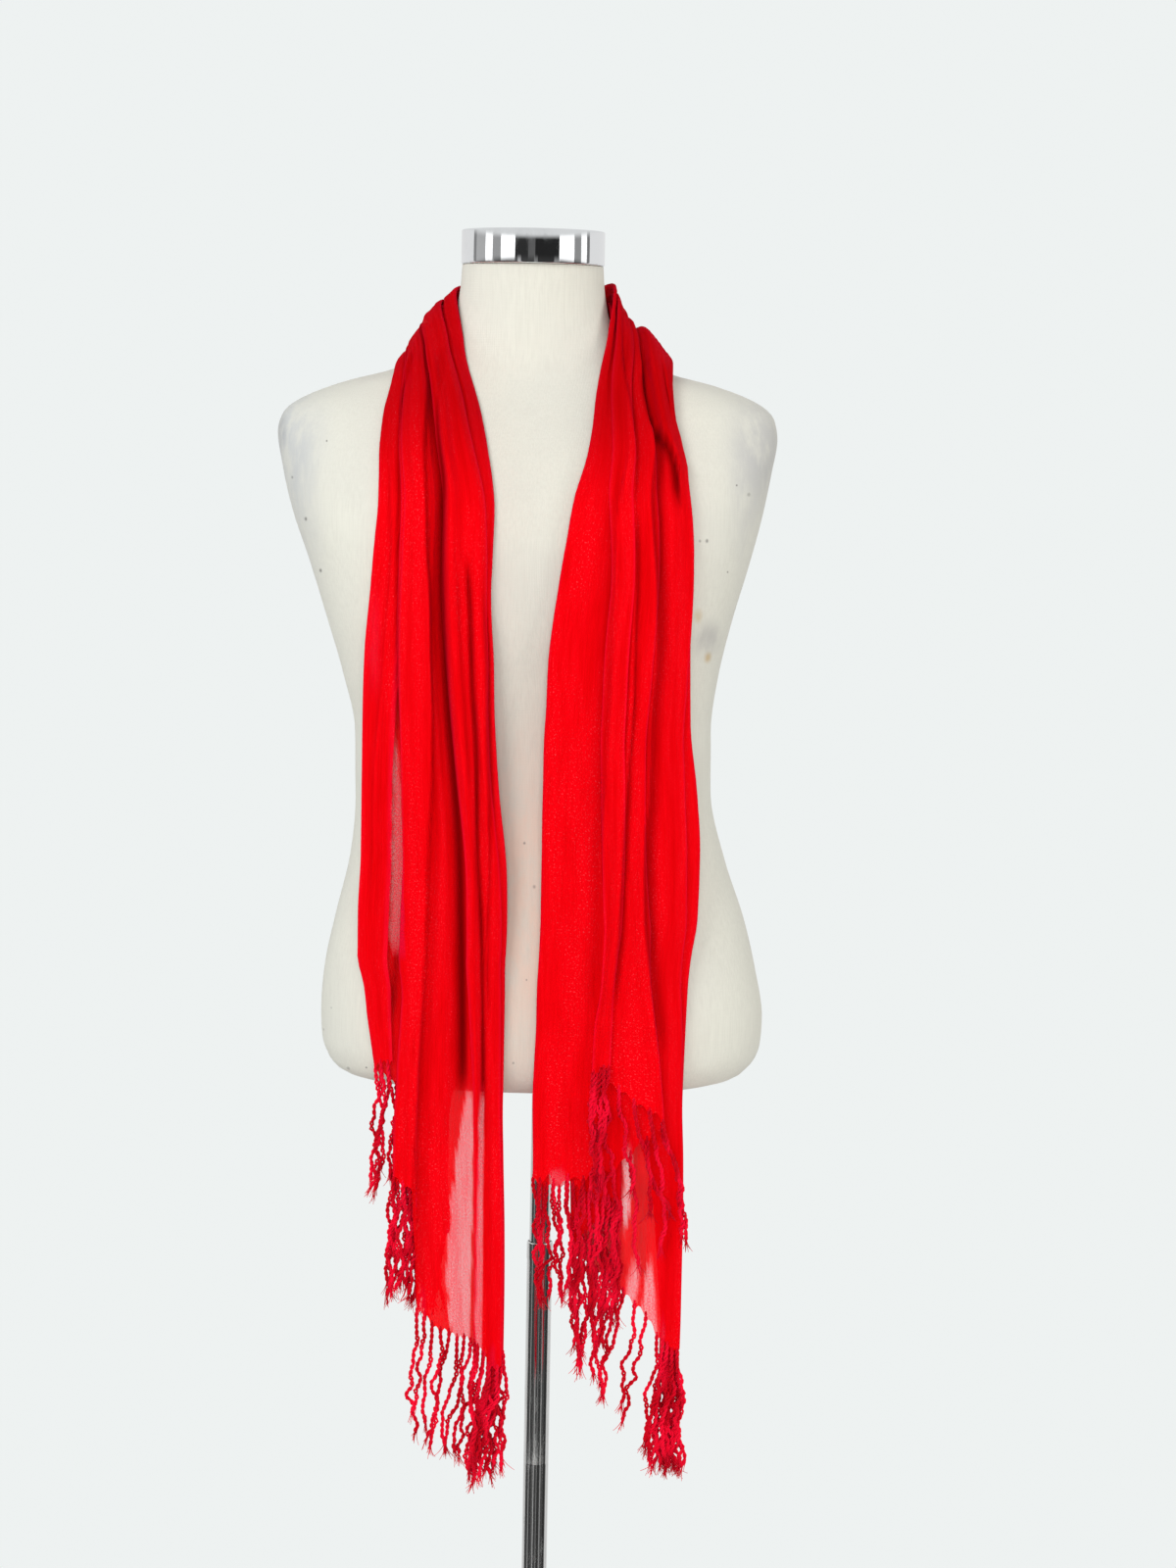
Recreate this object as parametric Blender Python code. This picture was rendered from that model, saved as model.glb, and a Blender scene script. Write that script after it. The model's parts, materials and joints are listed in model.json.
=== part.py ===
"""Fringed pashmina scarf hung round the neck of a limbless dress form on a pole stand.

All sizes are in millimetres in the tables and in metres in the meshes.  +Z is up,
the front of the form faces -Y and the pole stands on the Z axis.

The scarf is one long cloth.  Its cross-section is a zigzag of folds whose turning
points are rows of FOLDS, and it runs over STATIONS from one hem, up the chest, round
the nape and down to the other hem.
"""
import math

import bpy
import bmesh
import numpy as np
from mathutils import Vector
from mathutils.bvhtree import BVHTree

MM = 0.001

# ------------------------------------------------------------------ stand and form
# height, centre x, half width, front depth, back depth, squareness of the section
TORSO_SECTIONS = [
    (745, -3, 170, 97, 94, 2.3),
    (749, -3, 182, 106, 101, 2.3),
    (765, -2, 192, 113, 108, 2.3),
    (800, -2, 195, 115, 111, 2.3),
    (843, -4, 190, 113, 111, 2.3),
    (887, -5, 180, 108, 107, 2.3),
    (939, -8, 165, 103, 101, 2.3),
    (1000, -13, 156, 101, 98, 2.3),
    (1050, -14, 156, 103, 99, 2.3),
    (1100, -17, 164, 108, 103, 2.35),
    (1150, -19, 177, 115, 108, 2.4),
    (1200, -20, 192, 118, 112, 2.4),
    (1240, -22, 204, 113, 113, 2.4),
    (1282, -23, 213, 98, 110, 2.4),
    (1308, -23, 217, 84, 102, 2.3),
    (1325, -22, 213, 74, 94, 2.2),
    (1337, -20, 200, 67, 87, 2.1),
    (1347, -19, 178, 62, 82, 2.0),
    (1355, -19, 153, 58, 78, 2.0),
    (1361, -20, 128, 56, 75, 2.0),
    (1370, -21, 104, 55, 71, 2.0),
    (1385, -21, 83, 54, 68, 2.0),
    (1405, -21, 69, 54, 65, 2.0),
    (1430, -21, 63, 55, 62, 2.0),
    (1454, -21, 61, 57, 60, 2.0),
]
TORSO_SIDES = 36

NECK_X = -21.0
CAP_BOTTOM, CAP_TOP, CAP_RADIUS = 1454.4, 1483.8, 62.0

# profile rows: height, radius
BASE_PROFILE = [(0, 172), (2, 175), (7, 175), (9.5, 172), (10.5, 165), (12, 26), (14, 22), (30, 22), (32, 20)]
OUTER_POLE_PROFILE = [(32.4, 11.2), (575, 11.2), (577, 13.0), (591, 13.0), (593, 11.5)]
INNER_POLE_PROFILE = [(593.4, 9.4), (744.6, 9.4)]

# ------------------------------------------------------------------------- the scarf
WALL = 1.2          # cloth wall
SEAM = 0.3          # parting between pieces
CLEAR = 1.8         # mid-surface of the innermost layer off the form
TURN = 1.3          # radius of a fold's turn
LEG_STEP = 0.30     # longest stretch of a leg between lattice columns, share of width
BED_CURVE = 3       # order of the bed's curve across the cloth
BED_SLOPE_ALONG = 0.6

# hanging stations: height, left outer x, left inner x, right inner x, right outer x
PANEL_RAILS = [
    (390, -141, -28, -6, 125),
    (480, -141, -28, -6, 125),
    (560, -141, -28, -6, 126),
    (640, -141, -29, -6, 126),
    (700, -141, -31, -6, 125),
    (745, -141, -32, -7, 124),
    (785, -146, -32, -6, 124),
    (812, -150, -32, -5, 124),
    (838, -153, -32, -5, 124),
    (866, -159, -32, -4, 126),
    (900, -159, -31, -3, 131),
    (955, -157, -33, -3, 132),
    (1015, -157, -40, -3, 128),
    (1070, -157, -44, -2, 123),
    (1125, -156, -46, 0, 123),
    (1175, -152, -49, 6, 123),
    (1215, -149, -48, 12, 122),
    (1255, -146, -48, 19, 118),
]
HANG_Y = -100.0

# stations over the shoulders: name, inner edge x y z, outer edge x y z
SHOULDER_LEFT = [
    ("collar_left_low", (-53, -92, 1290), (-146, -84, 1288)),
    ("collar_left", (-60, -74, 1322), (-144, -66, 1318)),
    ("slope_left", (-75, -36, 1374), (-140, -40, 1350)),
    ("ridge_left", (-79, 0, 1425), (-136, 0, 1365)),
]
NAPE = [
    ("nape_left", (-64, 42, 1430), (-106, 60, 1352)),
    ("nape_back", (-21, 58, 1428), (-21, 86, 1342)),
    ("nape_right", (22, 42, 1430), (66, 60, 1351)),
]
SHOULDER_RIGHT = [
    ("ridge_right", (39, 0, 1428), (94, 0, 1364)),
    ("slope_right", (40, -37, 1378), (99, -41, 1348)),
    ("collar_right", (33, -76, 1322), (105, -66, 1316)),
    ("collar_right_low", (28, -92, 1290), (111, -80, 1288)),
]

# Fold rows.  Each is one turning point (or soft crest) of the zigzag, met in order
# across the cloth.  turn: +1 rounds out to the inner edge, -1 out to the outer edge,
# 0 a crest on a leg.  The other columns are the share of the panel's width (0 outer
# edge, 1 inner edge) at the heights in LEVELS, and lift is its height off the form,
# one number or one for each level.
LEVELS_LEFT = (560, 730, 850, 1015, 1175, 1310, "ridge_left")
FOLDS_LEFT = [
    # name,          turn, lift, shares from the hem up
    ("front_lap",       0, 25.5, (.77, .77, .745, .705, .60, .54, .50)),
    ("front_crest",     0, 29.5, (.80, .80, .775, .77, .69, .61, .57)),
    ("front_crease",    0, 25.5, (.86, .86, .83, .85, .80, .71, .66)),
    ("front_crest_in",  0, 28.0, (.93, .93, .91, .905, .90, .79, .74)),
    ("front_tip",       1, 24.3, (.99, .985, .975, .95, .965, .86, .80)),
    ("under_tip",      -1, 21.2, (.87, .87, .885, .85, .80, .70, .62)),
    ("inner_slope",     0, 19.9, (.91, .91, .92, .90, .87, .80, .76)),
    ("inner_crest",     0, 19.6, (.95, .95, .955, .95, .935, .90, .88)),
    ("inner_edge",      1, 18.0, (1.0, 1.0, 1.0, 1.0, 1.0, 1.0, 1.0)),
    ("valley",          0, 16.2, (.70, .70, .71, .68, .60, .56, .56)),
    ("flank",           0, 17.4, (.62, .62, .65, .625, .55, .51, .51)),
    ("mid_crest",       0, 22.5, (.52, .50, .57, .58, .51, .475, .47)),
    ("mid_crease",      0, 18.8, (.42, .34, .47, .52, .465, .45, .43)),
    ("wide_crest",      0, 21.8, (.35, .29, .38, .39, .36, .32, .34)),
    ("wide_edge",      -1, 15.0, (.295, .245, .305, .30, .26, .22, .24)),
    ("hidden_in",       1, 11.9, (.55, .58, .84, .90, .88, .86, .82)),
    ("outer_rise",      0, 10.5, (.46, .46, .70, .72, .70, .66, .62)),
    ("outer_swell",     0, 10.4, (.40, .40, .54, .56, .54, .50, .48)),
    ("wide_edge_back", -1, 8.8, (.235, .205, .275, .272, .235, .185, .18)),
    ("back_in",         1, 5.7, (.50, .53, .80, .88, .84, .80, .74)),
    ("outer_edge",     -1, 2.8, (0, 0, 0, 0, 0, 0, 0)),
    ("outer_crest",     0, 6.8, (.06, .06, .09, .09, .09, .08, .08)),
    ("outer_lap",       0, 6.2, (.13, .135, .215, .22, .20, .155, .15)),
]
# the nape keeps the same folds, gathered evenly
SHARES_NAPE = (.44, .50, .57, .64, .72, .54, .70, .86, 1.0, .58, .52, .46, .41, .36, .28,
               .74, .25, .19, .12, .50, 0, .08, .13)
LEVELS_RIGHT = (560, 690, 730, 805, 850, 975, 1175, 1310, "ridge_right")
FOLDS_RIGHT = [
    ("front_lap",       0, 26.5, (.50, .50, .50, .50, .49, .475, .45, .56, .52)),
    ("front_crest",     0, 28.0, (.54, .54, .54, .54, .53, .52, .50, .63, .60)),
    ("front_crease",    0, 27.2, (.57, .57, .57, .57, .55, .56, .54, .68, .70)),
    ("front_crest_in",  0, 27.4, (.60, .60, .60, .60, .565, .60, .59, .75, .80)),
    ("front_tip",       1, 24.3, (.62, .62, .62, .62, .58, .625, .62, .80, .88)),
    ("under_tip",      -1, 20.6, (.14, .13, .14, .20, .25, .345, .27, .345, .44)),
    ("inner_slope",     0, 19.2, (.50, .50, .50, .52, .54, .58, .56, .62, .66)),
    ("inner_crest",     0, 20.2, (.82, .82, .82, .82, .82, .83, .83, .86, .88)),
    ("inner_edge",      1, 17.8, (1.0, 1.0, 1.0, 1.0, 1.0, 1.0, 1.0, 1.0, 1.0)),
    ("valley",          0, 16.7, (.74, .74, .74, .74, .74, .74, .74, .82, .84)),
    ("flank",           0, 16.3, (.66, .66, .66, .66, .66, .66, .66, .70, .72)),
    ("mid_crest",       0, 16.0, (.58, .58, .58, .58, .58, .58, .58, .62, .64)),
    ("mid_crease",      0, 15.8, (.52, .52, .52, .52, .52, .52, .52, .54, .56)),
    ("wide_crest",      0, 15.6, (.47, .47, .47, .47, .47, .47, .47, .47, .50)),
    ("wide_edge",      -1, 13.9, (.42, .42, .42, .42, .42, .42, .40, .40, .42)),
    ("hidden_in",       1, 10.6, (.735, .76, .80, .86, .90, .90, .90, .90, .88)),
    ("outer_rise",      0, 10.0, (.40, .40, .40, .40, .40, .40, .34, .31, .35)),
    ("outer_swell",     0, (10.9, 10.9, 10.9, 10.9, 10.9, 10.9, 12.0, 18.0, 19.5),
     (.17, .17, .17, .18, .19, .21, .17, .19, .26)),
    ("wide_edge_back", -1, 8.6, (.015, .015, .02, .03, .05, .085, .015, .0, .02)),
    ("back_in",         1, 5.7, (.13, .16, .18, .22, .26, .30, .26, .28, .34)),
    ("outer_edge",     -1, 2.8, (.02, .02, .02, .01, .0, .0, .03, .03, .0)),
    ("outer_crest",     0, 4.3, (.05, .05, .05, .05, .05, .05, .08, .08, .07)),
    ("outer_lap",       0, 4.6, (.075, .08, .09, .10, .11, .12, .12, .12, .12)),
]
# hem heights met in the same order, left and right
HEM_LEFT = (537, 532, 524, 516, 515, 517, 518, 519, 521, 535, 540, 549, 556, 561, 567,
            612, 625, 643, 677, 725, 770, 772, 773)
HEM_RIGHT = (777, 776, 775, 774, 773, 731, 690, 689, 688, 682, 676, 670, 665, 661, 656,
             619, 580, 540, 522, 519, 517, 517, 517)

STRANDS = 54            # tassels on each end
STRAND_WIDE = 2.2
STRAND_LENGTH = 104.0
BACKING = 4.5
STRAND_STEPS = 3


# ----------------------------------------------------------------------- mesh helpers
def new_object(name, verts, faces, material):
    """Make one closed mesh object from metres and give it its own material."""
    mesh = bpy.data.meshes.new(name)
    mesh.from_pydata([tuple(v) for v in verts], [], faces)
    mesh.validate()
    bm = bmesh.new()
    bm.from_mesh(mesh)
    bmesh.ops.recalc_face_normals(bm, faces=bm.faces)
    bm.to_mesh(mesh)
    bm.free()
    obj = bpy.data.objects.new(name, mesh)
    bpy.context.scene.collection.objects.link(obj)
    mesh.materials.append(material)
    return obj


def make_material(name, colour, metallic, roughness):
    """A plain Principled material."""
    mat = bpy.data.materials.new(name)
    mat.use_nodes = True
    node = mat.node_tree.nodes["Principled BSDF"]
    node.inputs["Base Color"].default_value = (*colour, 1.0)
    node.inputs["Metallic"].default_value = metallic
    node.inputs["Roughness"].default_value = roughness
    return mat


def rings_to_mesh(rings):
    """Close a stack of rings with a fan at each end."""
    count = len(rings[0])
    verts = [p for ring in rings for p in ring]
    faces = []
    for k in range(len(rings) - 1):
        a, b = k * count, (k + 1) * count
        for i in range(count):
            j = (i + 1) % count
            faces.append((a + i, a + j, b + j, b + i))
    for base, ring, flip in ((0, rings[0], True), ((len(rings) - 1) * count, rings[-1], False)):
        centre = len(verts)
        verts.append(tuple(np.mean(np.array(ring), axis=0)))
        for i in range(count):
            j = (i + 1) % count
            faces.append((base + j, base + i, centre) if flip else (base + i, base + j, centre))
    return verts, faces


def torso_ring(row, sides):
    """One section of the form as a rounded ring, in metres."""
    z, cx, half, front, back, square = row
    ring = []
    for i in range(sides):
        angle = 2 * math.pi * i / sides
        c, s = math.cos(angle), math.sin(angle)
        x = cx + half * math.copysign(abs(c) ** (2 / square), c)
        depth = back if s > 0 else front
        y = depth * math.copysign(abs(s) ** (2 / square), s)
        ring.append((x * MM, y * MM, z * MM))
    return ring


def round_profile(profile, sides, centre_x=0.0):
    """Turn a height and radius profile round the vertical axis."""
    return rings_to_mesh([[((centre_x + r * math.cos(2 * math.pi * i / sides)) * MM,
                            r * math.sin(2 * math.pi * i / sides) * MM, z * MM)
                           for i in range(sides)] for z, r in profile])


# --------------------------------------------------------------------- smooth lookups
def hermite(xs, rows, x):
    """Monotone cubic lookup of table rows (xs ascending) at x."""
    xs = np.asarray(xs, float)
    rows = np.asarray(rows, float)
    x = min(max(x, xs[0]), xs[-1])
    k = int(min(max(np.searchsorted(xs, x) - 1, 0), len(xs) - 2))
    steps = np.diff(xs)
    shape = (-1,) + (1,) * (rows.ndim - 1)
    slopes = np.diff(rows, axis=0) / steps.reshape(shape)

    def tangent(i):
        if i == 0:
            return slopes[0]
        if i == len(xs) - 1:
            return slopes[-1]
        left, right = slopes[i - 1], slopes[i]
        blend = (left * steps[i] + right * steps[i - 1]) / (steps[i] + steps[i - 1])
        limit = 2 * np.minimum(np.abs(left), np.abs(right))
        return np.where(left * right > 0, np.sign(blend) * np.minimum(np.abs(blend), limit), 0.0)

    h = steps[k]
    t = (x - xs[k]) / h
    m0, m1 = tangent(k), tangent(k + 1)
    return ((2 * t ** 3 - 3 * t ** 2 + 1) * rows[k] + (t ** 3 - 2 * t ** 2 + t) * h * m0
            + (-2 * t ** 3 + 3 * t ** 2) * rows[k + 1] + (t ** 3 - t ** 2) * h * m1)


# --------------------------------------------------------------------------- the cloth
def lift_of(row, level):
    """A fold row's lift at a level."""
    return row[2][level] if isinstance(row[2], tuple) else row[2]


class Cloth:
    """The scarf's surface: a zigzag section carried over the stations."""

    def __init__(self, tree):
        self.names, inner, outer, heights = [], [], [], []
        for z, out_x, in_x, _, _ in PANEL_RAILS:
            self.names.append("left_%d" % z)
            inner.append((in_x, HANG_Y, z))
            outer.append((out_x, HANG_Y, z))
        for name, i, o in SHOULDER_LEFT + NAPE + SHOULDER_RIGHT:
            self.names.append(name)
            inner.append(i)
            outer.append(o)
        for z, _, _, in_x, out_x in reversed(PANEL_RAILS):
            self.names.append("right_%d" % z)
            inner.append((in_x, HANG_Y, z))
            outer.append((out_x, HANG_Y, z))
        self.inner, self.outer = np.array(inner, float), np.array(outer, float)
        middle = (self.inner + self.outer) / 2
        self.v = np.concatenate([[0], np.cumsum(np.linalg.norm(np.diff(middle, axis=0), axis=1))])
        across = self.inner - self.outer
        self.width = np.linalg.norm(across, axis=1)
        self.across = across / self.width[:, None]
        along = np.gradient(middle, self.v, axis=0)
        normal = np.cross(self.across, along)
        self.normal = normal / np.linalg.norm(normal, axis=1)[:, None]
        self.fold_v, self.fold_share, self.fold_lift = self.fold_tables()
        self.turns = [row[1] for row in FOLDS_LEFT]
        reach = np.max(np.abs(np.diff(np.array(self.fold_share), axis=1)), axis=0)
        self.parts = [max(1, math.ceil(r / LEG_STEP)) for r in reach]
        self.shares = np.linspace(0, 1, 17)
        self.bed_v = self.bed_places()
        self.bed = self.lay_bed(tree)

    def bed_places(self):
        """Where the bed is measured: every station, and closer together over the shoulders."""
        places = []
        for a, b, name in zip(self.v[:-1], self.v[1:], self.names[:-1]):
            following = self.names[self.names.index(name) + 1]
            hanging = name[-1].isdigit() and following[-1].isdigit()
            pieces = max(1, math.ceil((b - a) / (22.0 if hanging else 11.0)))
            places += [a + (b - a) * i / pieces for i in range(pieces)]
        return np.array(places + [self.v[-1]])

    def at(self, name):
        """Where along the cloth a named station is."""
        return float(self.v[self.names.index(name)])

    def panel_v(self, side, height):
        """Where along the cloth a panel is at a height."""
        zs = [row[0] for row in PANEL_RAILS]
        vs = [self.at("%s_%d" % (side, z)) for z in zs]
        zs, vs = zs + [1289, 1320], vs + [self.at("collar_%s_low" % side), self.at("collar_%s" % side)]
        return float(np.interp(height, zs, vs))

    def fold_tables(self):
        """Shares and lifts of every fold row at each level, in order along the cloth."""
        keys = []
        for side, levels, folds in (("left", LEVELS_LEFT, FOLDS_LEFT), ("right", LEVELS_RIGHT, FOLDS_RIGHT)):
            for i, level in enumerate(levels):
                v = self.at(level) if isinstance(level, str) else self.panel_v(side, level)
                keys.append((v, [row[3][i] for row in folds], [lift_of(row, i) for row in folds]))
        lifts = [min(lift_of(a, 0), lift_of(b, 0)) for a, b in zip(FOLDS_LEFT, FOLDS_RIGHT)]
        keys.append((self.at("nape_back"), list(SHARES_NAPE), lifts))
        keys.sort(key=lambda k: k[0])
        return [k[0] for k in keys], [k[1] for k in keys], [k[2] for k in keys]

    def controls(self, v):
        """Section points (across, lift) at v: a turn gives three, a crest one."""
        share = hermite(self.fold_v, self.fold_share, v)
        lift = hermite(self.fold_v, self.fold_lift, v)
        width = float(hermite(self.v, self.width, v))
        pts, index = [], []
        for i, turn in enumerate(self.turns):
            a = share[i] * width
            if turn == 0:
                pts.append((a, lift[i]))
                index.append(i)
                continue
            up = TURN if FOLDS_LEFT[i][0] != "outer_edge" else -TURN
            pts += [(a - turn * TURN, lift[i] + up), (a, lift[i]), (a - turn * TURN, lift[i] - up)]
            index += [i, i, i]
        full, where = [pts[0]], [float(index[0])]
        for k in range(1, len(pts)):
            i = index[k - 1]
            parts = self.parts[i] if index[k] != i else 1
            for q in range(1, parts + 1):
                t = q / parts
                full.append((pts[k - 1][0] + (pts[k][0] - pts[k - 1][0]) * t,
                             pts[k - 1][1] + (pts[k][1] - pts[k - 1][1]) * t))
                where.append(i + (index[k] - i) * t)
        return np.array(full), where, width

    def walls(self, v):
        """The two faces of the wall at v, each a list of (across, lift), and the middle."""
        pts, _, width = self.controls(v)
        step = np.diff(pts, axis=0)
        step /= np.linalg.norm(step, axis=1)[:, None]
        side = np.stack([-step[:, 1], step[:, 0]], axis=1)
        first, last = np.vstack([side[:1], side]), np.vstack([side, side[-1:]])
        miter = first + last
        miter /= np.sum(miter * first, axis=1)[:, None]
        return pts + miter * WALL / 2, pts - miter * WALL / 2, pts, width

    def place(self, v, across, lift, width):
        """A section point in space, in millimetres."""
        outer, a_dir, normal, _ = self.frame(v)
        bed_row = hermite(self.bed_v, self.bed, v)
        bed = float(hermite(self.shares, bed_row, across / width))
        return outer + a_dir * across + normal * (bed + lift)

    def lowest_lift(self, v):
        """Lift of the innermost layer at each share of the width."""
        pts, _, width = self.controls(v)
        low = np.full(len(self.shares), 40.0)
        for (a0, h0), (a1, h1) in zip(pts[:-1], pts[1:]):
            lo, hi = min(a0, a1) / width - 0.04, max(a0, a1) / width + 0.04
            for j, f in enumerate(self.shares):
                if lo <= f <= hi:
                    low[j] = min(low[j], h0, h1)
        return low

    def frame(self, v):
        """Outer edge, unit direction across, unit normal and width at v."""
        across = hermite(self.v, self.across, v)
        across = across / np.linalg.norm(across)
        normal = hermite(self.v, self.normal, v)
        normal = normal - across * np.dot(normal, across)
        return (hermite(self.v, self.outer, v), across, normal / np.linalg.norm(normal),
                float(hermite(self.v, self.width, v)))

    def lay_bed(self, tree):
        """How far the form lifts each station's cloth: on it above, hanging free below."""
        count, cols = len(self.bed_v), len(self.shares)
        body = np.full((count, cols), -60.0)
        need = np.zeros((count, cols))
        for k, v in enumerate(self.bed_v):
            outer, across, normal, width = self.frame(v)
            n = Vector(normal)
            for j, f in enumerate(self.shares):
                p = Vector(outer + across * width * f)
                hit = tree.ray_cast((p + n * 150) * MM, -n)
                if hit[0] is not None:
                    body[k, j] = 150 - hit[3] / MM
        left_top, right_top = self.at("left_1255"), self.at("right_1255")
        left = [k for k in range(count) if self.bed_v[k] < left_top + 0.5]
        right = [k for k in range(count) if self.bed_v[k] > right_top - 0.5]
        for k in reversed(left[:-1]):
            body[k] = np.maximum(body[k], body[k + 1])
        for k in right[1:]:
            body[k] = np.maximum(body[k], body[k - 1])
        for k in range(count):
            need[k] = body[k] + CLEAR - self.lowest_lift(self.bed_v[k])
        need = np.maximum(need, -24.0)
        # no steeper than BED_SLOPE along the cloth, and one smooth curve across it
        gap = np.abs(self.bed_v[:, None] - self.bed_v[None, :]) * BED_SLOPE_ALONG
        eased = np.max(need[None, :, :] - gap[:, :, None], axis=1)
        curves = np.vander(self.shares, BED_CURVE + 1)
        fit = np.linalg.lstsq(curves, eased.T, rcond=None)[0]
        smooth = (curves @ fit).T
        short = np.max(eased - smooth, axis=1)
        return smooth + np.maximum(short, 0)[:, None]


def sheet_solid(cloth, rows_for, columns):
    """Closed wall from a lattice: rows_for(column) gives its places along the cloth."""
    front, back = [], []
    for j in range(columns):
        col_f, col_b = [], []
        for v in rows_for(j):
            wf, wb, _, width = cloth.walls(v)
            col_f.append(cloth.place(v, *wf[j], width) * MM)
            col_b.append(cloth.place(v, *wb[j], width) * MM)
        front.append(col_f)
        back.append(col_b)
    rows = len(front[0])
    verts = [p for col in front for p in col] + [p for col in back for p in col]
    half = columns * rows

    def f(j, i):
        return j * rows + i

    faces = []
    for j in range(columns - 1):
        for i in range(rows - 1):
            faces.append((f(j, i), f(j + 1, i), f(j + 1, i + 1), f(j, i + 1)))
            faces.append((half + f(j, i), half + f(j, i + 1), half + f(j + 1, i + 1), half + f(j + 1, i)))
        faces.append((f(j, 0), half + f(j, 0), half + f(j + 1, 0), f(j + 1, 0)))
        e = rows - 1
        faces.append((f(j, e), f(j + 1, e), half + f(j + 1, e), half + f(j, e)))
    for i in range(rows - 1):
        faces.append((f(0, i), f(0, i + 1), half + f(0, i + 1), half + f(0, i)))
        j = columns - 1
        faces.append((f(j, i), half + f(j, i), half + f(j, i + 1), f(j, i + 1)))
    return verts, faces


def hem_places(cloth, side, index):
    """Where along the cloth each lattice column's hem lies."""
    hem = HEM_LEFT if side == "left" else HEM_RIGHT
    return [cloth.panel_v(side, float(np.interp(i, range(len(hem)), hem))) for i in index]


ROWS_HANGING = (0, .2, .45, .72)
ROWS_UPPER = (800, 900, 1000, 1100, 1200, 1240, 1270)
SHOULDER_STEPS = 6


def build_panel(cloth, side, material):
    """One hanging end of the scarf, hem to shoulder ridge."""
    _, index, _ = cloth.controls(cloth.at("nape_back"))
    hems = hem_places(cloth, side, index)
    sign = 1 if side == "left" else -1
    top = cloth.at("ridge_%s" % side) - sign * SEAM / 2
    upper = [cloth.panel_v(side, z) for z in ROWS_UPPER]
    low = cloth.at("collar_%s_low" % side)
    upper += [low + (top - low) * i / SHOULDER_STEPS for i in range(SHOULDER_STEPS + 1)]

    def rows_for(j):
        return [hems[j] + (upper[0] - hems[j]) * t for t in ROWS_HANGING] + upper

    verts, faces = sheet_solid(cloth, rows_for, len(index))
    new_object("scarf_%s" % side, verts, faces, material)
    return hems


def build_neck(cloth, material):
    """The stretch of the scarf round the back of the neck."""
    _, index, _ = cloth.controls(cloth.at("nape_back"))
    a, b = cloth.at("ridge_left") + SEAM / 2, cloth.at("ridge_right") - SEAM / 2
    places = np.linspace(a, b, 13)
    verts, faces = sheet_solid(cloth, lambda j: places, len(index))
    return new_object("scarf_neck", verts, faces, material)


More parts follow.
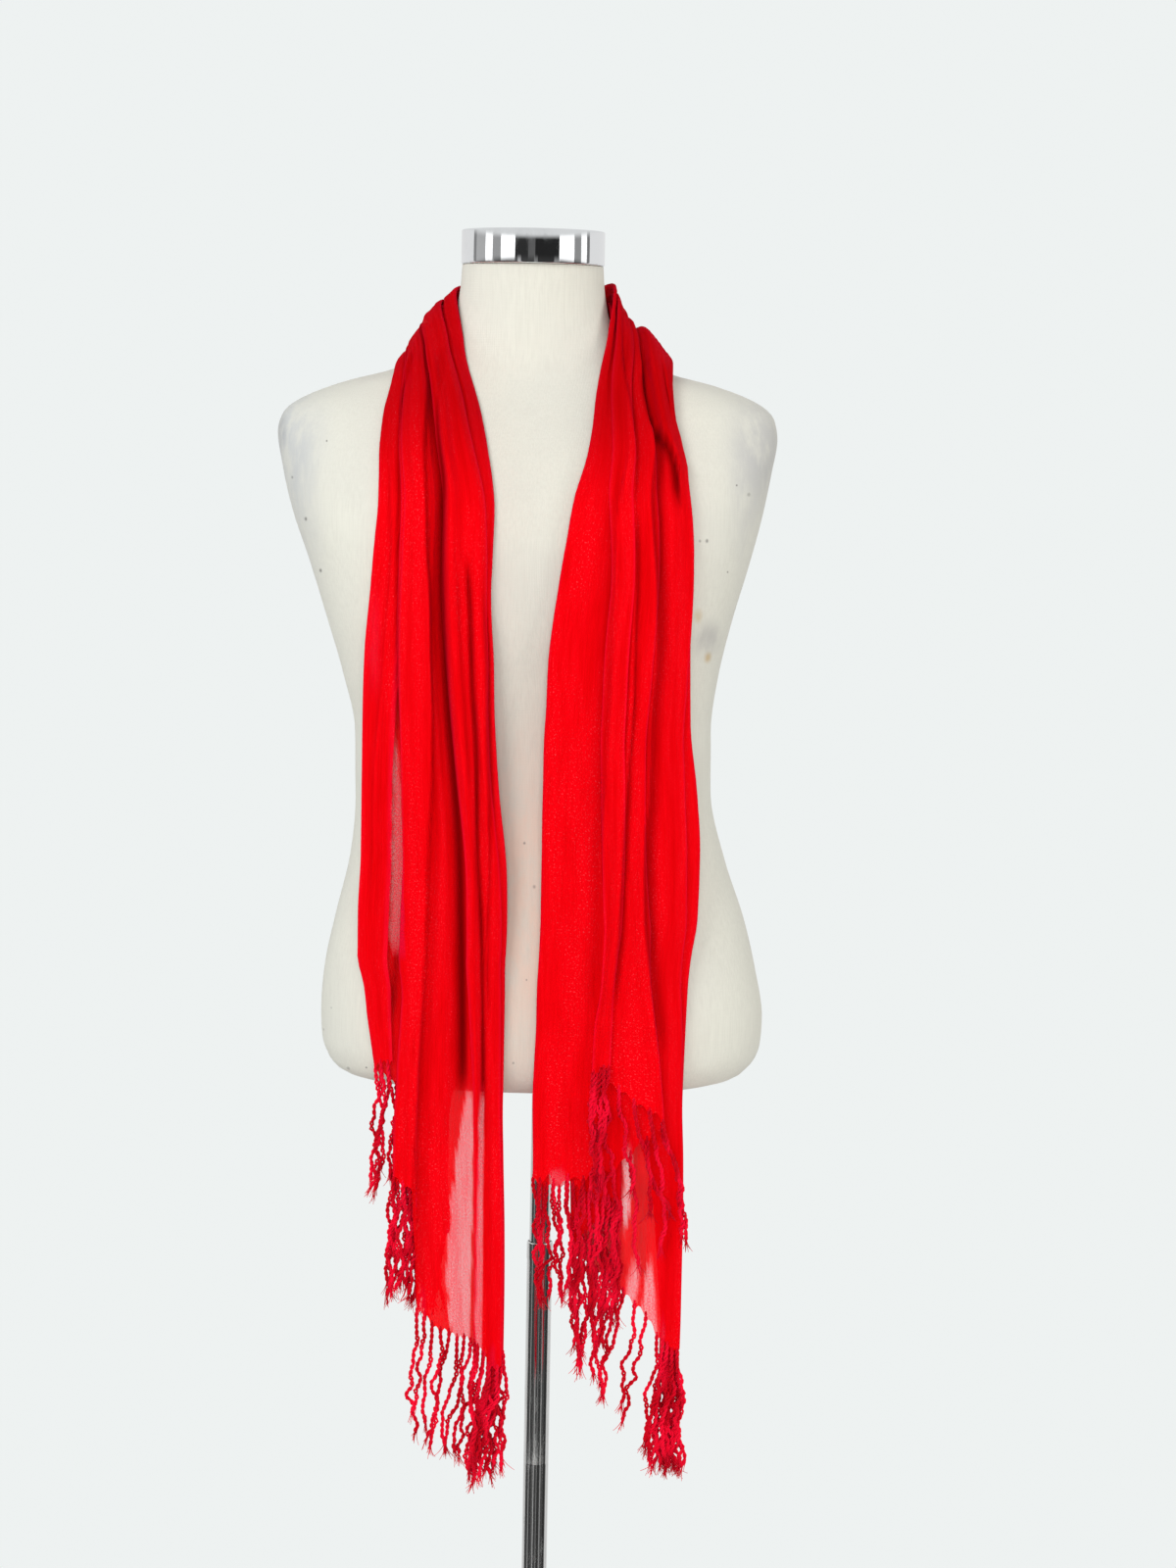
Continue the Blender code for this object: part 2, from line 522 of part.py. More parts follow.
def build_fringe(cloth, side, hems, material):
    """Backing strip along the hem with every strand grown from its lower edge."""
    down = -1 if side == "left" else 1
    # arc length across the cloth to spread the strands evenly
    lengths = []
    for j in range(len(hems) - 1):
        v = (hems[j] + hems[j + 1]) / 2
        pts = cloth.walls(v)[2]
        lengths.append(float(np.linalg.norm(pts[j + 1] - pts[j])))
    arc = np.concatenate([[0], np.cumsum(lengths)])
    total = arc[-1]
    pitch = (total - STRAND_WIDE - 1.0) / (STRANDS - 1)
    cuts = set(float(a) for a in arc)
    spans = []
    for s in range(STRANDS):
        a0 = 0.5 + pitch * s
        for shift in (0, .4, -.4, .8, -.8, 1.2, -1.2, 1.6, -1.6, 2.0, -2.0, 2.4, -2.4, 2.8, -2.8):
            low, high = a0 + shift - 0.3, a0 + shift + STRAND_WIDE + 0.3
            if low > 0 and high < total and not any(low < a < high for a in arc):
                break
        a0 += shift
        cuts.update((a0, a0 + STRAND_WIDE))
        spans.append((a0, a0 + STRAND_WIDE))
    stops = sorted(cuts)

    def corner(a, drop, face):
        """A point of the strip: a across by arc, drop below the hem, on a face."""
        c = min(max(int(np.searchsorted(arc, a, side="right") - 1), 0), len(arc) - 2)
        t = (a - arc[c]) / (arc[c + 1] - arc[c])
        hem = hems[c] + (hems[c + 1] - hems[c]) * t
        v = hem + down * drop
        wall = cloth.walls(v)
        pick = wall[face]
        p = pick[c] + (pick[c + 1] - pick[c]) * t
        return cloth.place(v, float(p[0]), float(p[1]), wall[3])

    rows = (SEAM, BACKING)
    verts, faces = [], []
    key = {}
    for i, a in enumerate(stops):
        for r, drop in enumerate(rows):
            for face in (0, 1):
                key[i, r, face] = len(verts)
                verts.append(corner(a, drop, face) * MM)
    last = len(stops) - 1
    grown = {s: k for k, s in enumerate(s[0] for s in spans)}
    for i in range(last):
        faces.append((key[i, 0, 0], key[i + 1, 0, 0], key[i + 1, 1, 0], key[i, 1, 0]))
        faces.append((key[i, 0, 1], key[i, 1, 1], key[i + 1, 1, 1], key[i + 1, 0, 1]))
        faces.append((key[i, 0, 0], key[i, 0, 1], key[i + 1, 0, 1], key[i + 1, 0, 0]))
        if stops[i] not in grown:
            faces.append((key[i, 1, 0], key[i + 1, 1, 0], key[i + 1, 1, 1], key[i, 1, 1]))
            continue
        n = grown[stops[i]]
        root = [key[i, 1, 0], key[i + 1, 1, 0], key[i + 1, 1, 1], key[i, 1, 1]]
        centre_a = (stops[i] + stops[i + 1]) / 2
        start = (corner(centre_a, BACKING, 0) + corner(centre_a, BACKING, 1)) / 2
        offsets = [np.array(verts[r]) / MM - start for r in root]
        length = STRAND_LENGTH + 7.0 * math.sin(2.1 * n) + 4.0 * math.sin(0.9 * n + 1.0)
        ring = root
        for step in range(1, STRAND_STEPS + 1):
            drop = BACKING + length * step / STRAND_STEPS
            spot = (corner(centre_a, drop, 0) + corner(centre_a, drop, 1)) / 2
            sway = 2.2 * math.sin(spot[2] / 9.0) * min(1.0, step / 2)
            size = 1.0 if step < STRAND_STEPS else 0.7
            flat = [np.array((o[0], o[1], o[2] * 0.15)) * size for o in offsets]
            new = []
            for o in flat:
                new.append(len(verts))
                verts.append((spot + np.array((sway, 0, 0)) + o) * MM)
            for q in range(4):
                w = (q + 1) % 4
                faces.append((ring[q], ring[w], new[w], new[q]))
            ring = new
        faces.append(tuple(ring))
    for i in (0, last):
        faces.append((key[i, 0, 0], key[i, 1, 0], key[i, 1, 1], key[i, 0, 1]))
    return new_object("fringe_%s" % side, verts, faces, material)


def main():
    for obj in list(bpy.data.objects):
        bpy.data.objects.remove(obj, do_unlink=True)

    linen = make_material("form_cover", (0.78, 0.75, 0.69), 0.0, 0.9)
    chrome = make_material("bright_metal", (0.75, 0.75, 0.76), 1.0, 0.12)
    steel = make_material("pole_metal", (0.55, 0.55, 0.56), 1.0, 0.2)
    plate = make_material("base_metal", (0.60, 0.60, 0.61), 1.0, 0.25)
    sleeve = make_material("sleeve_metal", (0.58, 0.58, 0.59), 1.0, 0.2)
    reds = {name: make_material("red_%s" % name, (0.72, 0.006, 0.012), 0.0, 0.8)
            for name in ("left", "neck", "right", "fringe_left", "fringe_right")}

    verts, faces = rings_to_mesh([torso_ring(row, TORSO_SIDES) for row in TORSO_SECTIONS])
    new_object("dress_form_torso", verts, faces, linen)
    tree = BVHTree.FromPolygons([Vector(v) for v in verts], faces)

    cap = [(CAP_BOTTOM, CAP_RADIUS - 1.2), (CAP_BOTTOM + 1.2, CAP_RADIUS), (CAP_TOP - 2.5, CAP_RADIUS),
           (CAP_TOP - 0.8, CAP_RADIUS - 0.8), (CAP_TOP, CAP_RADIUS - 3.0)]
    new_object("neck_cap", *round_profile(cap, 28, NECK_X), chrome)
    new_object("pole_inner", *round_profile(INNER_POLE_PROFILE, 16), steel)
    new_object("pole_outer", *round_profile(OUTER_POLE_PROFILE, 16), sleeve)
    new_object("base_plate", *round_profile(BASE_PROFILE, 28), plate)

    cloth = Cloth(tree)
    left = build_panel(cloth, "left", reds["left"])
    build_neck(cloth, reds["neck"])
    right = build_panel(cloth, "right", reds["right"])
    build_fringe(cloth, "left", left, reds["fringe_left"])
    build_fringe(cloth, "right", right, reds["fringe_right"])


main()
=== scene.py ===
"""Finish of a fringed pashmina scarf hung open round the neck of a limbless dress form.

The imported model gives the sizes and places.  Over it this script builds the scarf as one
thin folded sheet, its twisted tassels, the form's stretched cover and the bright metal
stand, and gives each of them its finish.  Tables are in millimetres, meshes in metres.
"""
import json
import logging
import math
from dataclasses import dataclass
from enum import Enum

import bpy
import numpy as np
from mathutils import Matrix, Vector
from mathutils.bvhtree import BVHTree

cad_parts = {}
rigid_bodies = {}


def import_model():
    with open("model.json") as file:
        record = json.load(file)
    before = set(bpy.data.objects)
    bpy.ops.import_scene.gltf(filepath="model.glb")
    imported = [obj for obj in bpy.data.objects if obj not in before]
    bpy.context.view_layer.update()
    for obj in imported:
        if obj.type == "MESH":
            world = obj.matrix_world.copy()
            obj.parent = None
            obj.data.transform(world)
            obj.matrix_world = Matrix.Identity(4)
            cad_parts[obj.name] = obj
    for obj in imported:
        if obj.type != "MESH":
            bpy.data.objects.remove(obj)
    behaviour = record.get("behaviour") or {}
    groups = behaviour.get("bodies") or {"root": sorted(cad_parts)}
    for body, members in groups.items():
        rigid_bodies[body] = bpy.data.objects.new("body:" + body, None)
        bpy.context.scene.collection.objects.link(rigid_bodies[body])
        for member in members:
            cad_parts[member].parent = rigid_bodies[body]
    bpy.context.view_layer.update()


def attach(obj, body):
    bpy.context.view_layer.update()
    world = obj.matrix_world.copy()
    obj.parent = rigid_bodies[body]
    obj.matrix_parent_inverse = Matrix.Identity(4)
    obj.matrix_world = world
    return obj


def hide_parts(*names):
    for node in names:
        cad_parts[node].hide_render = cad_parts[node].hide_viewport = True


LOG = logging.getLogger("pashmina")
MM = 0.001
TURN = 2 * math.pi
Socket = bpy.types.NodeSocket
Values = np.ndarray


class Side(Enum):
    """The two hanging ends of the scarf, as the viewer sees them."""

    LEFT = "left"
    RIGHT = "right"


class Turn(Enum):
    """What the cloth does at a fold row."""

    INNER = 1       # turns back at its inner side
    OUTER = -1      # turns back at its outer side
    CREST = 0       # runs on over a soft crest or trough


# --------------------------------------------------------------------------- helpers
def smooth_lookup(places: Values, rows: Values, at: Values) -> Values:
    """Monotone cubic lookup of table rows.

    Args:
        places: ascending places of the rows.
        rows: one row of values for each place.
        at: the places to read.

    Returns:
        One row for each place read.
    """
    xs, table = np.asarray(places, float), np.asarray(rows, float)
    flat = table.reshape(len(xs), -1)
    steps = np.diff(xs)[:, None]
    slopes = np.diff(flat, axis=0) / steps
    before, after = slopes[:-1], slopes[1:]
    blend = (before * steps[1:] + after * steps[:-1]) / (steps[1:] + steps[:-1])
    limit = 2 * np.minimum(np.abs(before), np.abs(after))
    inner = np.where(before * after > 0, np.sign(blend) * np.minimum(np.abs(blend), limit), 0.0)
    tangents = np.vstack([slopes[:1], inner, slopes[-1:]])
    x = np.clip(np.asarray(at, float), xs[0], xs[-1])
    k = np.clip(np.searchsorted(xs, x) - 1, 0, len(xs) - 2)
    h = steps[k]
    t = ((x - xs[k]) / h[:, 0])[:, None]
    value = ((2 * t ** 3 - 3 * t ** 2 + 1) * flat[k] + (t ** 3 - 2 * t ** 2 + t) * h * tangents[k]
             + (-2 * t ** 3 + 3 * t ** 2) * flat[k + 1] + (t ** 3 - t ** 2) * h * tangents[k + 1])
    return value.reshape((len(x),) + table.shape[1:])


def smooth_step(low: float, high: float, x: Values) -> Values:
    """0 below low, 1 above high and a smooth rise between."""
    t = np.clip((np.asarray(x, float) - low) / (high - low), 0.0, 1.0)
    return t * t * (3 - 2 * t)


def unit(vectors: Values) -> Values:
    """The vectors at length 1, along the last axis."""
    return vectors / np.linalg.norm(vectors, axis=-1, keepdims=True)


def mesh_object(name: str, verts: Values, faces: list, material: bpy.types.Material,
                sharp_angle: float | None = None) -> bpy.types.Object:
    """Link a smooth shaded mesh object.

    Args:
        name: name of the piece.
        verts: points in metres.
        faces: tuples of point numbers.
        material: its finish.
        sharp_angle: edges above this angle, in degrees, stay crisp.

    Returns:
        The new object, at the origin.
    """
    mesh = bpy.data.meshes.new(name)
    mesh.from_pydata(np.asarray(verts, float).tolist(), [], faces)
    mesh.validate()
    mesh.shade_smooth()
    if sharp_angle is not None:
        mesh.set_sharp_from_angle(angle=math.radians(sharp_angle))
    mesh.materials.append(material)
    return linked(name, mesh)


def linked(name: str, data: bpy.types.ID) -> bpy.types.Object:
    """A new object in the scene, at the origin."""
    obj = bpy.data.objects.new(name, data)
    bpy.context.scene.collection.objects.link(obj)
    return obj


def store(mesh: bpy.types.Mesh, name: str, values: Values) -> None:
    """Keep a number for every point of a mesh under a name."""
    layer = mesh.attributes.new(name, "FLOAT", "POINT")
    layer.data.foreach_set("value", values.astype(np.float32))


def ring_stack(rings: Values) -> tuple[Values, list]:
    """Close a stack of rings, lowest first, with a fan at each end.

    Args:
        rings: array of rings, points and coordinates.

    Returns:
        Points and faces of the closed mesh.
    """
    levels, count, _ = rings.shape
    last, bottom = (levels - 1) * count, levels * count
    pairs = [(i, (i + 1) % count) for i in range(count)]
    faces = [(k + i, k + j, k + count + j, k + count + i) for k in range(0, last, count) for i, j in pairs]
    for i, j in pairs:
        faces += [(j, i, bottom), (last + i, last + j, bottom + 1)]
    return np.vstack([rings.reshape(-1, 3), rings[0].mean(axis=0), rings[-1].mean(axis=0)]), faces


def circle(sides: int) -> tuple[Values, Values]:
    """Cosine and sine of every point of a ring."""
    angle = np.linspace(0, TURN, sides, endpoint=False)
    return np.cos(angle), np.sin(angle)


def turned(profile: tuple, sides: int, centre_x: float = 0.0) -> tuple[Values, list]:
    """Turn a profile round an upright axis.

    Args:
        profile: height and radius pairs in millimetres, lowest first.
        sides: how many points each ring has.
        centre_x: where the axis stands, in millimetres.

    Returns:
        Points in metres and faces.
    """
    cos, sin = circle(sides)
    rings = [np.stack([centre_x + r * cos, r * sin, np.full_like(cos, z)], axis=1) for z, r in profile]
    return ring_stack(np.array(rings) * MM)


def place_piece(piece: bpy.types.Object, slot: str, *nodes: str) -> None:
    """Ride a piece on the stand and hide the solids that it stands for."""
    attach(piece, "root")
    if nodes:
        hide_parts(*nodes)
    LOG.info("%s: %d points, %d faces", piece.name, len(piece.data.vertices), len(piece.data.polygons))


class NodeBench:
    """Adds and joins the nodes of one tree."""

    def __init__(self, tree: bpy.types.NodeTree) -> None:
        """Work on this tree."""
        self.tree = tree

    def add(self, kind: str, inputs: dict | None = None, **settings: object) -> bpy.types.Node:
        """Add a node.

        Args:
            kind: the node's type name.
            inputs: a value, or an output socket to join, for each input name or number.
            settings: the node's own properties.

        Returns:
            The node.
        """
        node = self.tree.nodes.new(kind)
        for key, value in settings.items():
            setattr(node, key, value)
        self.fill(node, inputs or {})
        return node

    def fill(self, node: bpy.types.Node, inputs: dict) -> None:
        """Set, or join, inputs of a node by name or number."""
        for key, value in inputs.items():
            if isinstance(value, Socket):
                self.tree.links.new(value, node.inputs[key])
            else:
                node.inputs[key].default_value = value

    def math(self, operation: str, first: object, second: object = 0.0, clamp: bool = False) -> Socket:
        """The output of a Math node on two values or sockets."""
        return self.add("ShaderNodeMath", {0: first, 1: second}, operation=operation, use_clamp=clamp).outputs[0]

    def times(self, first: object, second: object) -> Socket:
        """Two values multiplied."""
        return self.math("MULTIPLY", first, second)

    def weigh(self, *parts: tuple[object, float]) -> Socket:
        """The sum of two values, each with its own weight."""
        return self.math("ADD", *(self.times(value, weight) for value, weight in parts))

    def ripple(self, value: object, pitch: object) -> Socket:
        """A sine that repeats with a pitch."""
        return self.math("SINE", self.times(self.math("DIVIDE", value, pitch), TURN))

    def spread(self, value: object, low: float, high: float, to_low: float = 0.0,
               to_high: float = 1.0) -> Socket:
        """A value carried smoothly from one range to another, and held at its ends."""
        names = {"Value": value, "From Min": low, "From Max": high, "To Min": to_low, "To Max": to_high}
        return self.add("ShaderNodeMapRange", names, interpolation_type="SMOOTHSTEP").outputs[0]

    def mix(self, share: object, first: object, second: object) -> Socket:
        """Two colours mixed by a share."""
        return self.add("ShaderNodeMix", {0: share, 6: first, 7: second}, data_type="RGBA").outputs[2]

    def noise(self, vector: object, scale: float, detail: float, roughness: float) -> Socket:
        """The value of a noise texture."""
        return self.add("ShaderNodeTexNoise", {"Vector": vector, "Scale": scale, "Detail": detail,
                                               "Roughness": roughness}).outputs[0]

    def stretch(self, vector: object, scale: tuple[float, float, float]) -> Socket:
        """A vector multiplied by a scale for each axis."""
        return self.add("ShaderNodeVectorMath", {0: vector, 1: scale}, operation="MULTIPLY").outputs[0]

    def grain(self, vector: object, scale: tuple[float, float, float], detail: float = 2.0,
              roughness: float = 0.6) -> Socket:
        """Noise drawn out by its own scale along each axis."""
        return self.noise(self.stretch(vector, scale), 1.0, detail, roughness)

    def named(self, name: str) -> Socket:
        """A number that the mesh keeps under a name."""
        return self.add("ShaderNodeAttribute", attribute_name=name).outputs["Fac"]

    def place(self) -> Socket:
        """Object coordinates."""
        return self.add("ShaderNodeTexCoord").outputs["Object"]

    def split(self, vector: object) -> tuple[Socket, ...]:
        """The three numbers of a vector."""
        return tuple(self.add("ShaderNodeSeparateXYZ", {0: vector}).outputs)


def colour(red: float, green: float, blue: float) -> tuple[float, float, float, float]:
    """A linear colour with full alpha."""
    return (red, green, blue, 1.0)


class ShaderGroup:
    """A shader node group with named inputs and outputs, built once."""

    def __init__(self, name: str, inputs: dict[str, float | None], outputs: tuple[str, ...]) -> None:
        """Make the group's sockets.

        Args:
            name: name of the group.
            inputs: starting value for each input name, or None for a vector.
            outputs: names of the values that it puts out.
        """
        self.tree = bpy.data.node_groups.new(name, "ShaderNodeTree")
        for key, value in inputs.items():
            kind = "NodeSocketVector" if value is None else "NodeSocketFloat"
            socket = self.tree.interface.new_socket(name=key, in_out="INPUT", socket_type=kind)
            if value is not None:
                socket.default_value = value
        for key in outputs:
            self.tree.interface.new_socket(name=key, in_out="OUTPUT", socket_type="NodeSocketFloat")
        self.bench = NodeBench(self.tree)
        self.source = self.bench.add("NodeGroupInput").outputs

    def give(self, results: dict[str, Socket]) -> None:
        """Join the results to the group's outputs."""
        self.bench.add("NodeGroupOutput", results)

    def use(self, bench: NodeBench, inputs: dict[str, object]) -> bpy.types.Node:
        """Put the group in a material's tree with that material's own values."""
        return bench.add("ShaderNodeGroup", inputs, node_tree=self.tree)


# -------------------------------------------------------------------- shared effects
def twill_group() -> ShaderGroup:
    """Diagonal ribs, warp streaks and thin spots of a light twill, read from its own UV map."""
    group = ShaderGroup("twill_weave", {"UV": None, "Rib Pitch": 0.0011},
                        ("Height", "Streak", "Cover", "Fleck", "Rib"))
    bench, uv = group.bench, group.source["UV"]
    across, along, _ = bench.split(uv)
    rib = bench.ripple(bench.math("ADD", across, along), group.source["Rib Pitch"])
    fine = bench.grain(uv, (1400.0, 26.0, 1.0), 3.0)
    broad = bench.grain(uv, (70.0, 5.5, 1.0), 3.0)
    grain = bench.grain(uv, (1100.0, 700.0, 1.0), 1.0, 0.5)
    streak = bench.weigh((fine, 0.45), (broad, 0.55))
    group.give({"Height": bench.weigh((rib, 0.25), (fine, 0.9)),
                "Streak": streak,
                "Cover": bench.weigh((grain, 0.45), (streak, 0.55)),
                "Fleck": bench.times(bench.spread(grain, 0.60, 0.74), bench.spread(broad, 0.40, 0.62)),
                "Rib": bench.spread(rib, -0.2, -0.95)})
    return group


def knit_group() -> ShaderGroup:
    """Fine upright wales and crossing courses of a stretched cover."""
    group = ShaderGroup("knit_grain", {"Vector": None, "Wale": 0.0013}, ("Height", "Tone"))
    bench, place, wale = group.bench, group.source["Vector"], group.source["Wale"]
    x, y, z = bench.split(place)
    girth = bench.math("ADD", x, bench.times(y, 0.35))
    slub, cross = bench.grain(place, (760.0, 760.0, 26.0)), bench.grain(place, (60.0, 60.0, 760.0))
    threads = bench.weigh((slub, 0.8), (cross, 0.2))
    weave = bench.weigh((bench.ripple(girth, wale), 0.16), (bench.ripple(z, wale), 0.08))
    group.give({"Height": bench.math("ADD", weave, threads), "Tone": threads})
    return group


# -------------------------------------------------------------------------- finishes
class Finish:
    """A material with one Principled shader, dressed by its user."""

    def __init__(self, name: str) -> None:
        """Start the material's tree."""
        self.material = bpy.data.materials.new(name)
        self.material.use_nodes = True
        self.bench = NodeBench(self.material.node_tree)
        self.shader = self.material.node_tree.nodes["Principled BSDF"]
        self.surface = self.material.node_tree.nodes["Material Output"].inputs["Surface"]

    def set(self, values: dict[str, object]) -> None:
        """Set, or join, the Principled shader's sockets."""
        self.bench.fill(self.shader, values)

    def bump(self, height: Socket, distance: float, strength: float) -> None:
        """Raise the surface by a height."""
        node = self.bench.add("ShaderNodeBump", {"Height": height, "Distance": distance, "Strength": strength})
        self.set({"Normal": node.outputs["Normal"]})


@dataclass(frozen=True)
class RedTwill:
    """Thin bright red twill: one layer lets the ground show through, several are solid."""

    lit: tuple = colour(0.90, 0.0010, 0.0060)
    deep: tuple = colour(0.70, 0.0004, 0.0018)
    # colour of the shade painted into the fold hollows and on the layers turned away over the shoulders
    gloom: tuple = colour(0.16, 0.0002, 0.0006)
    fleck: tuple = colour(1.0, 0.10, 0.13)
    back_light: tuple = colour(1.0, 0.004, 0.010)
    # painted light colour: a pinker red laid as a highlight on fold edges and cut sides, and on the open weave
    crimson: tuple = colour(0.92, 0.006, 0.045)
    close_cover: tuple[float, float] = (0.97, 1.0)     # thinnest and thickest yarns
    open_cover: tuple[float, float] = (0.54, 0.84)
    through: float = 0.10                              # share of the light that shines through
    sheen: tuple = colour(1.0, 0.03, 0.16)
    rib_pitch: float = 0.0012                          # metres

    def build(self, twill: ShaderGroup) -> bpy.types.Material:
        """Make the material.

        Args:
            twill: the weave effect.

        Returns:
            The material.
        """
        finish = Finish("red_twill")
        bench = finish.bench
        uv = bench.add("ShaderNodeUVMap", uv_map="cloth_uv").outputs[0]
        weave = twill.use(bench, {"UV": uv, "Rib Pitch": self.rib_pitch}).outputs
        tone = bench.mix(bench.spread(weave["Streak"], 0.28, 0.62), self.deep, self.lit)
        tone = bench.mix(bench.times(weave["Fleck"], 0.5), tone, self.fleck)
        tone = bench.mix(bench.times(weave["Rib"], 0.45), tone, self.deep)
        # painted highlight: a pinker red along the fold edges and cut sides
        tone = bench.mix(bench.times(bench.named("fold_edge"), 0.30), tone, self.crimson)
        opened = bench.named("sheer")
        # painted shade: the colour darkened in the fold hollows and over the shoulders, left out where the weave is
        # open
        hollow = bench.times(bench.named("hollow"), bench.math("SUBTRACT", 1.0, opened, clamp=True))
        tone = bench.mix(hollow, tone, self.gloom)
        # painted light: the open weave is coloured the brighter, pinker red in place of the shade that falls in it
        tone = bench.mix(bench.times(opened, 0.7), tone, self.crimson)
        close = bench.spread(weave["Cover"], 0.32, 0.66, *self.close_cover)
        loose = bench.spread(weave["Cover"], 0.38, 0.60, *self.open_cover)
        thinned = bench.times(bench.math("SUBTRACT", close, loose), opened)
        finish.set({
            "Base Color": tone,
            "Alpha": bench.math("SUBTRACT", close, thinned, clamp=True),
            "Roughness": 0.9,
            "Specular IOR Level": 0.02,
            "Sheen Weight": 0.14,
            "Sheen Roughness": 0.35,
            "Sheen Tint": self.sheen,
        })
        finish.bump(weave["Height"], 0.0005, 0.6)
        glow = bench.add("ShaderNodeBsdfTranslucent", {"Color": self.back_light}).outputs[0]
        cloth = bench.add("ShaderNodeMixShader", {0: self.through, 1: finish.shader.outputs[0], 2: glow})
        bench.tree.links.new(cloth.outputs[0], finish.surface)
        return finish.material


@dataclass(frozen=True)
class RedYarn:
    """Soft twisted red yarn of the tassels, paler where its ends fray."""

    base: tuple = colour(0.78, 0.0030, 0.026)
    shade: tuple = colour(0.48, 0.0008, 0.007)
    frayed: tuple = colour(0.90, 0.02, 0.07)
    sheen: tuple = colour(1.0, 0.08, 0.2)

    def build(self) -> bpy.types.Material:
        """Make the material."""
        finish = Finish("red_yarn")
        bench = finish.bench
        place = bench.place()
        fibre = bench.grain(place, (900.0, 900.0, 300.0), 3.0)
        clump = bench.grain(place, (90.0, 90.0, 30.0), 1.0, 0.5)
        tone = bench.mix(bench.spread(clump, 0.35, 0.65), self.shade, self.base)
        tone = bench.mix(bench.spread(fibre, 0.55, 0.80, 0.0, 0.5), tone, self.frayed)
        finish.set({
            "Base Color": tone,
            "Roughness": 0.8,
            "Specular IOR Level": 0.06,
            "Sheen Weight": 0.35,
            "Sheen Roughness": 0.4,
            "Sheen Tint": self.sheen,
        })
        finish.bump(fibre, 0.0004, 0.6)
        return finish.material


@dataclass(frozen=True)
class Soil:
    """A patch laid over the colour of the form's cover, in millimetres; the patches are stains, grey patches and
    painted light.
    """

    name: str
    centre: tuple[float, float, float]
    reach: tuple[float, float, float]
    strength: float
    tint: tuple


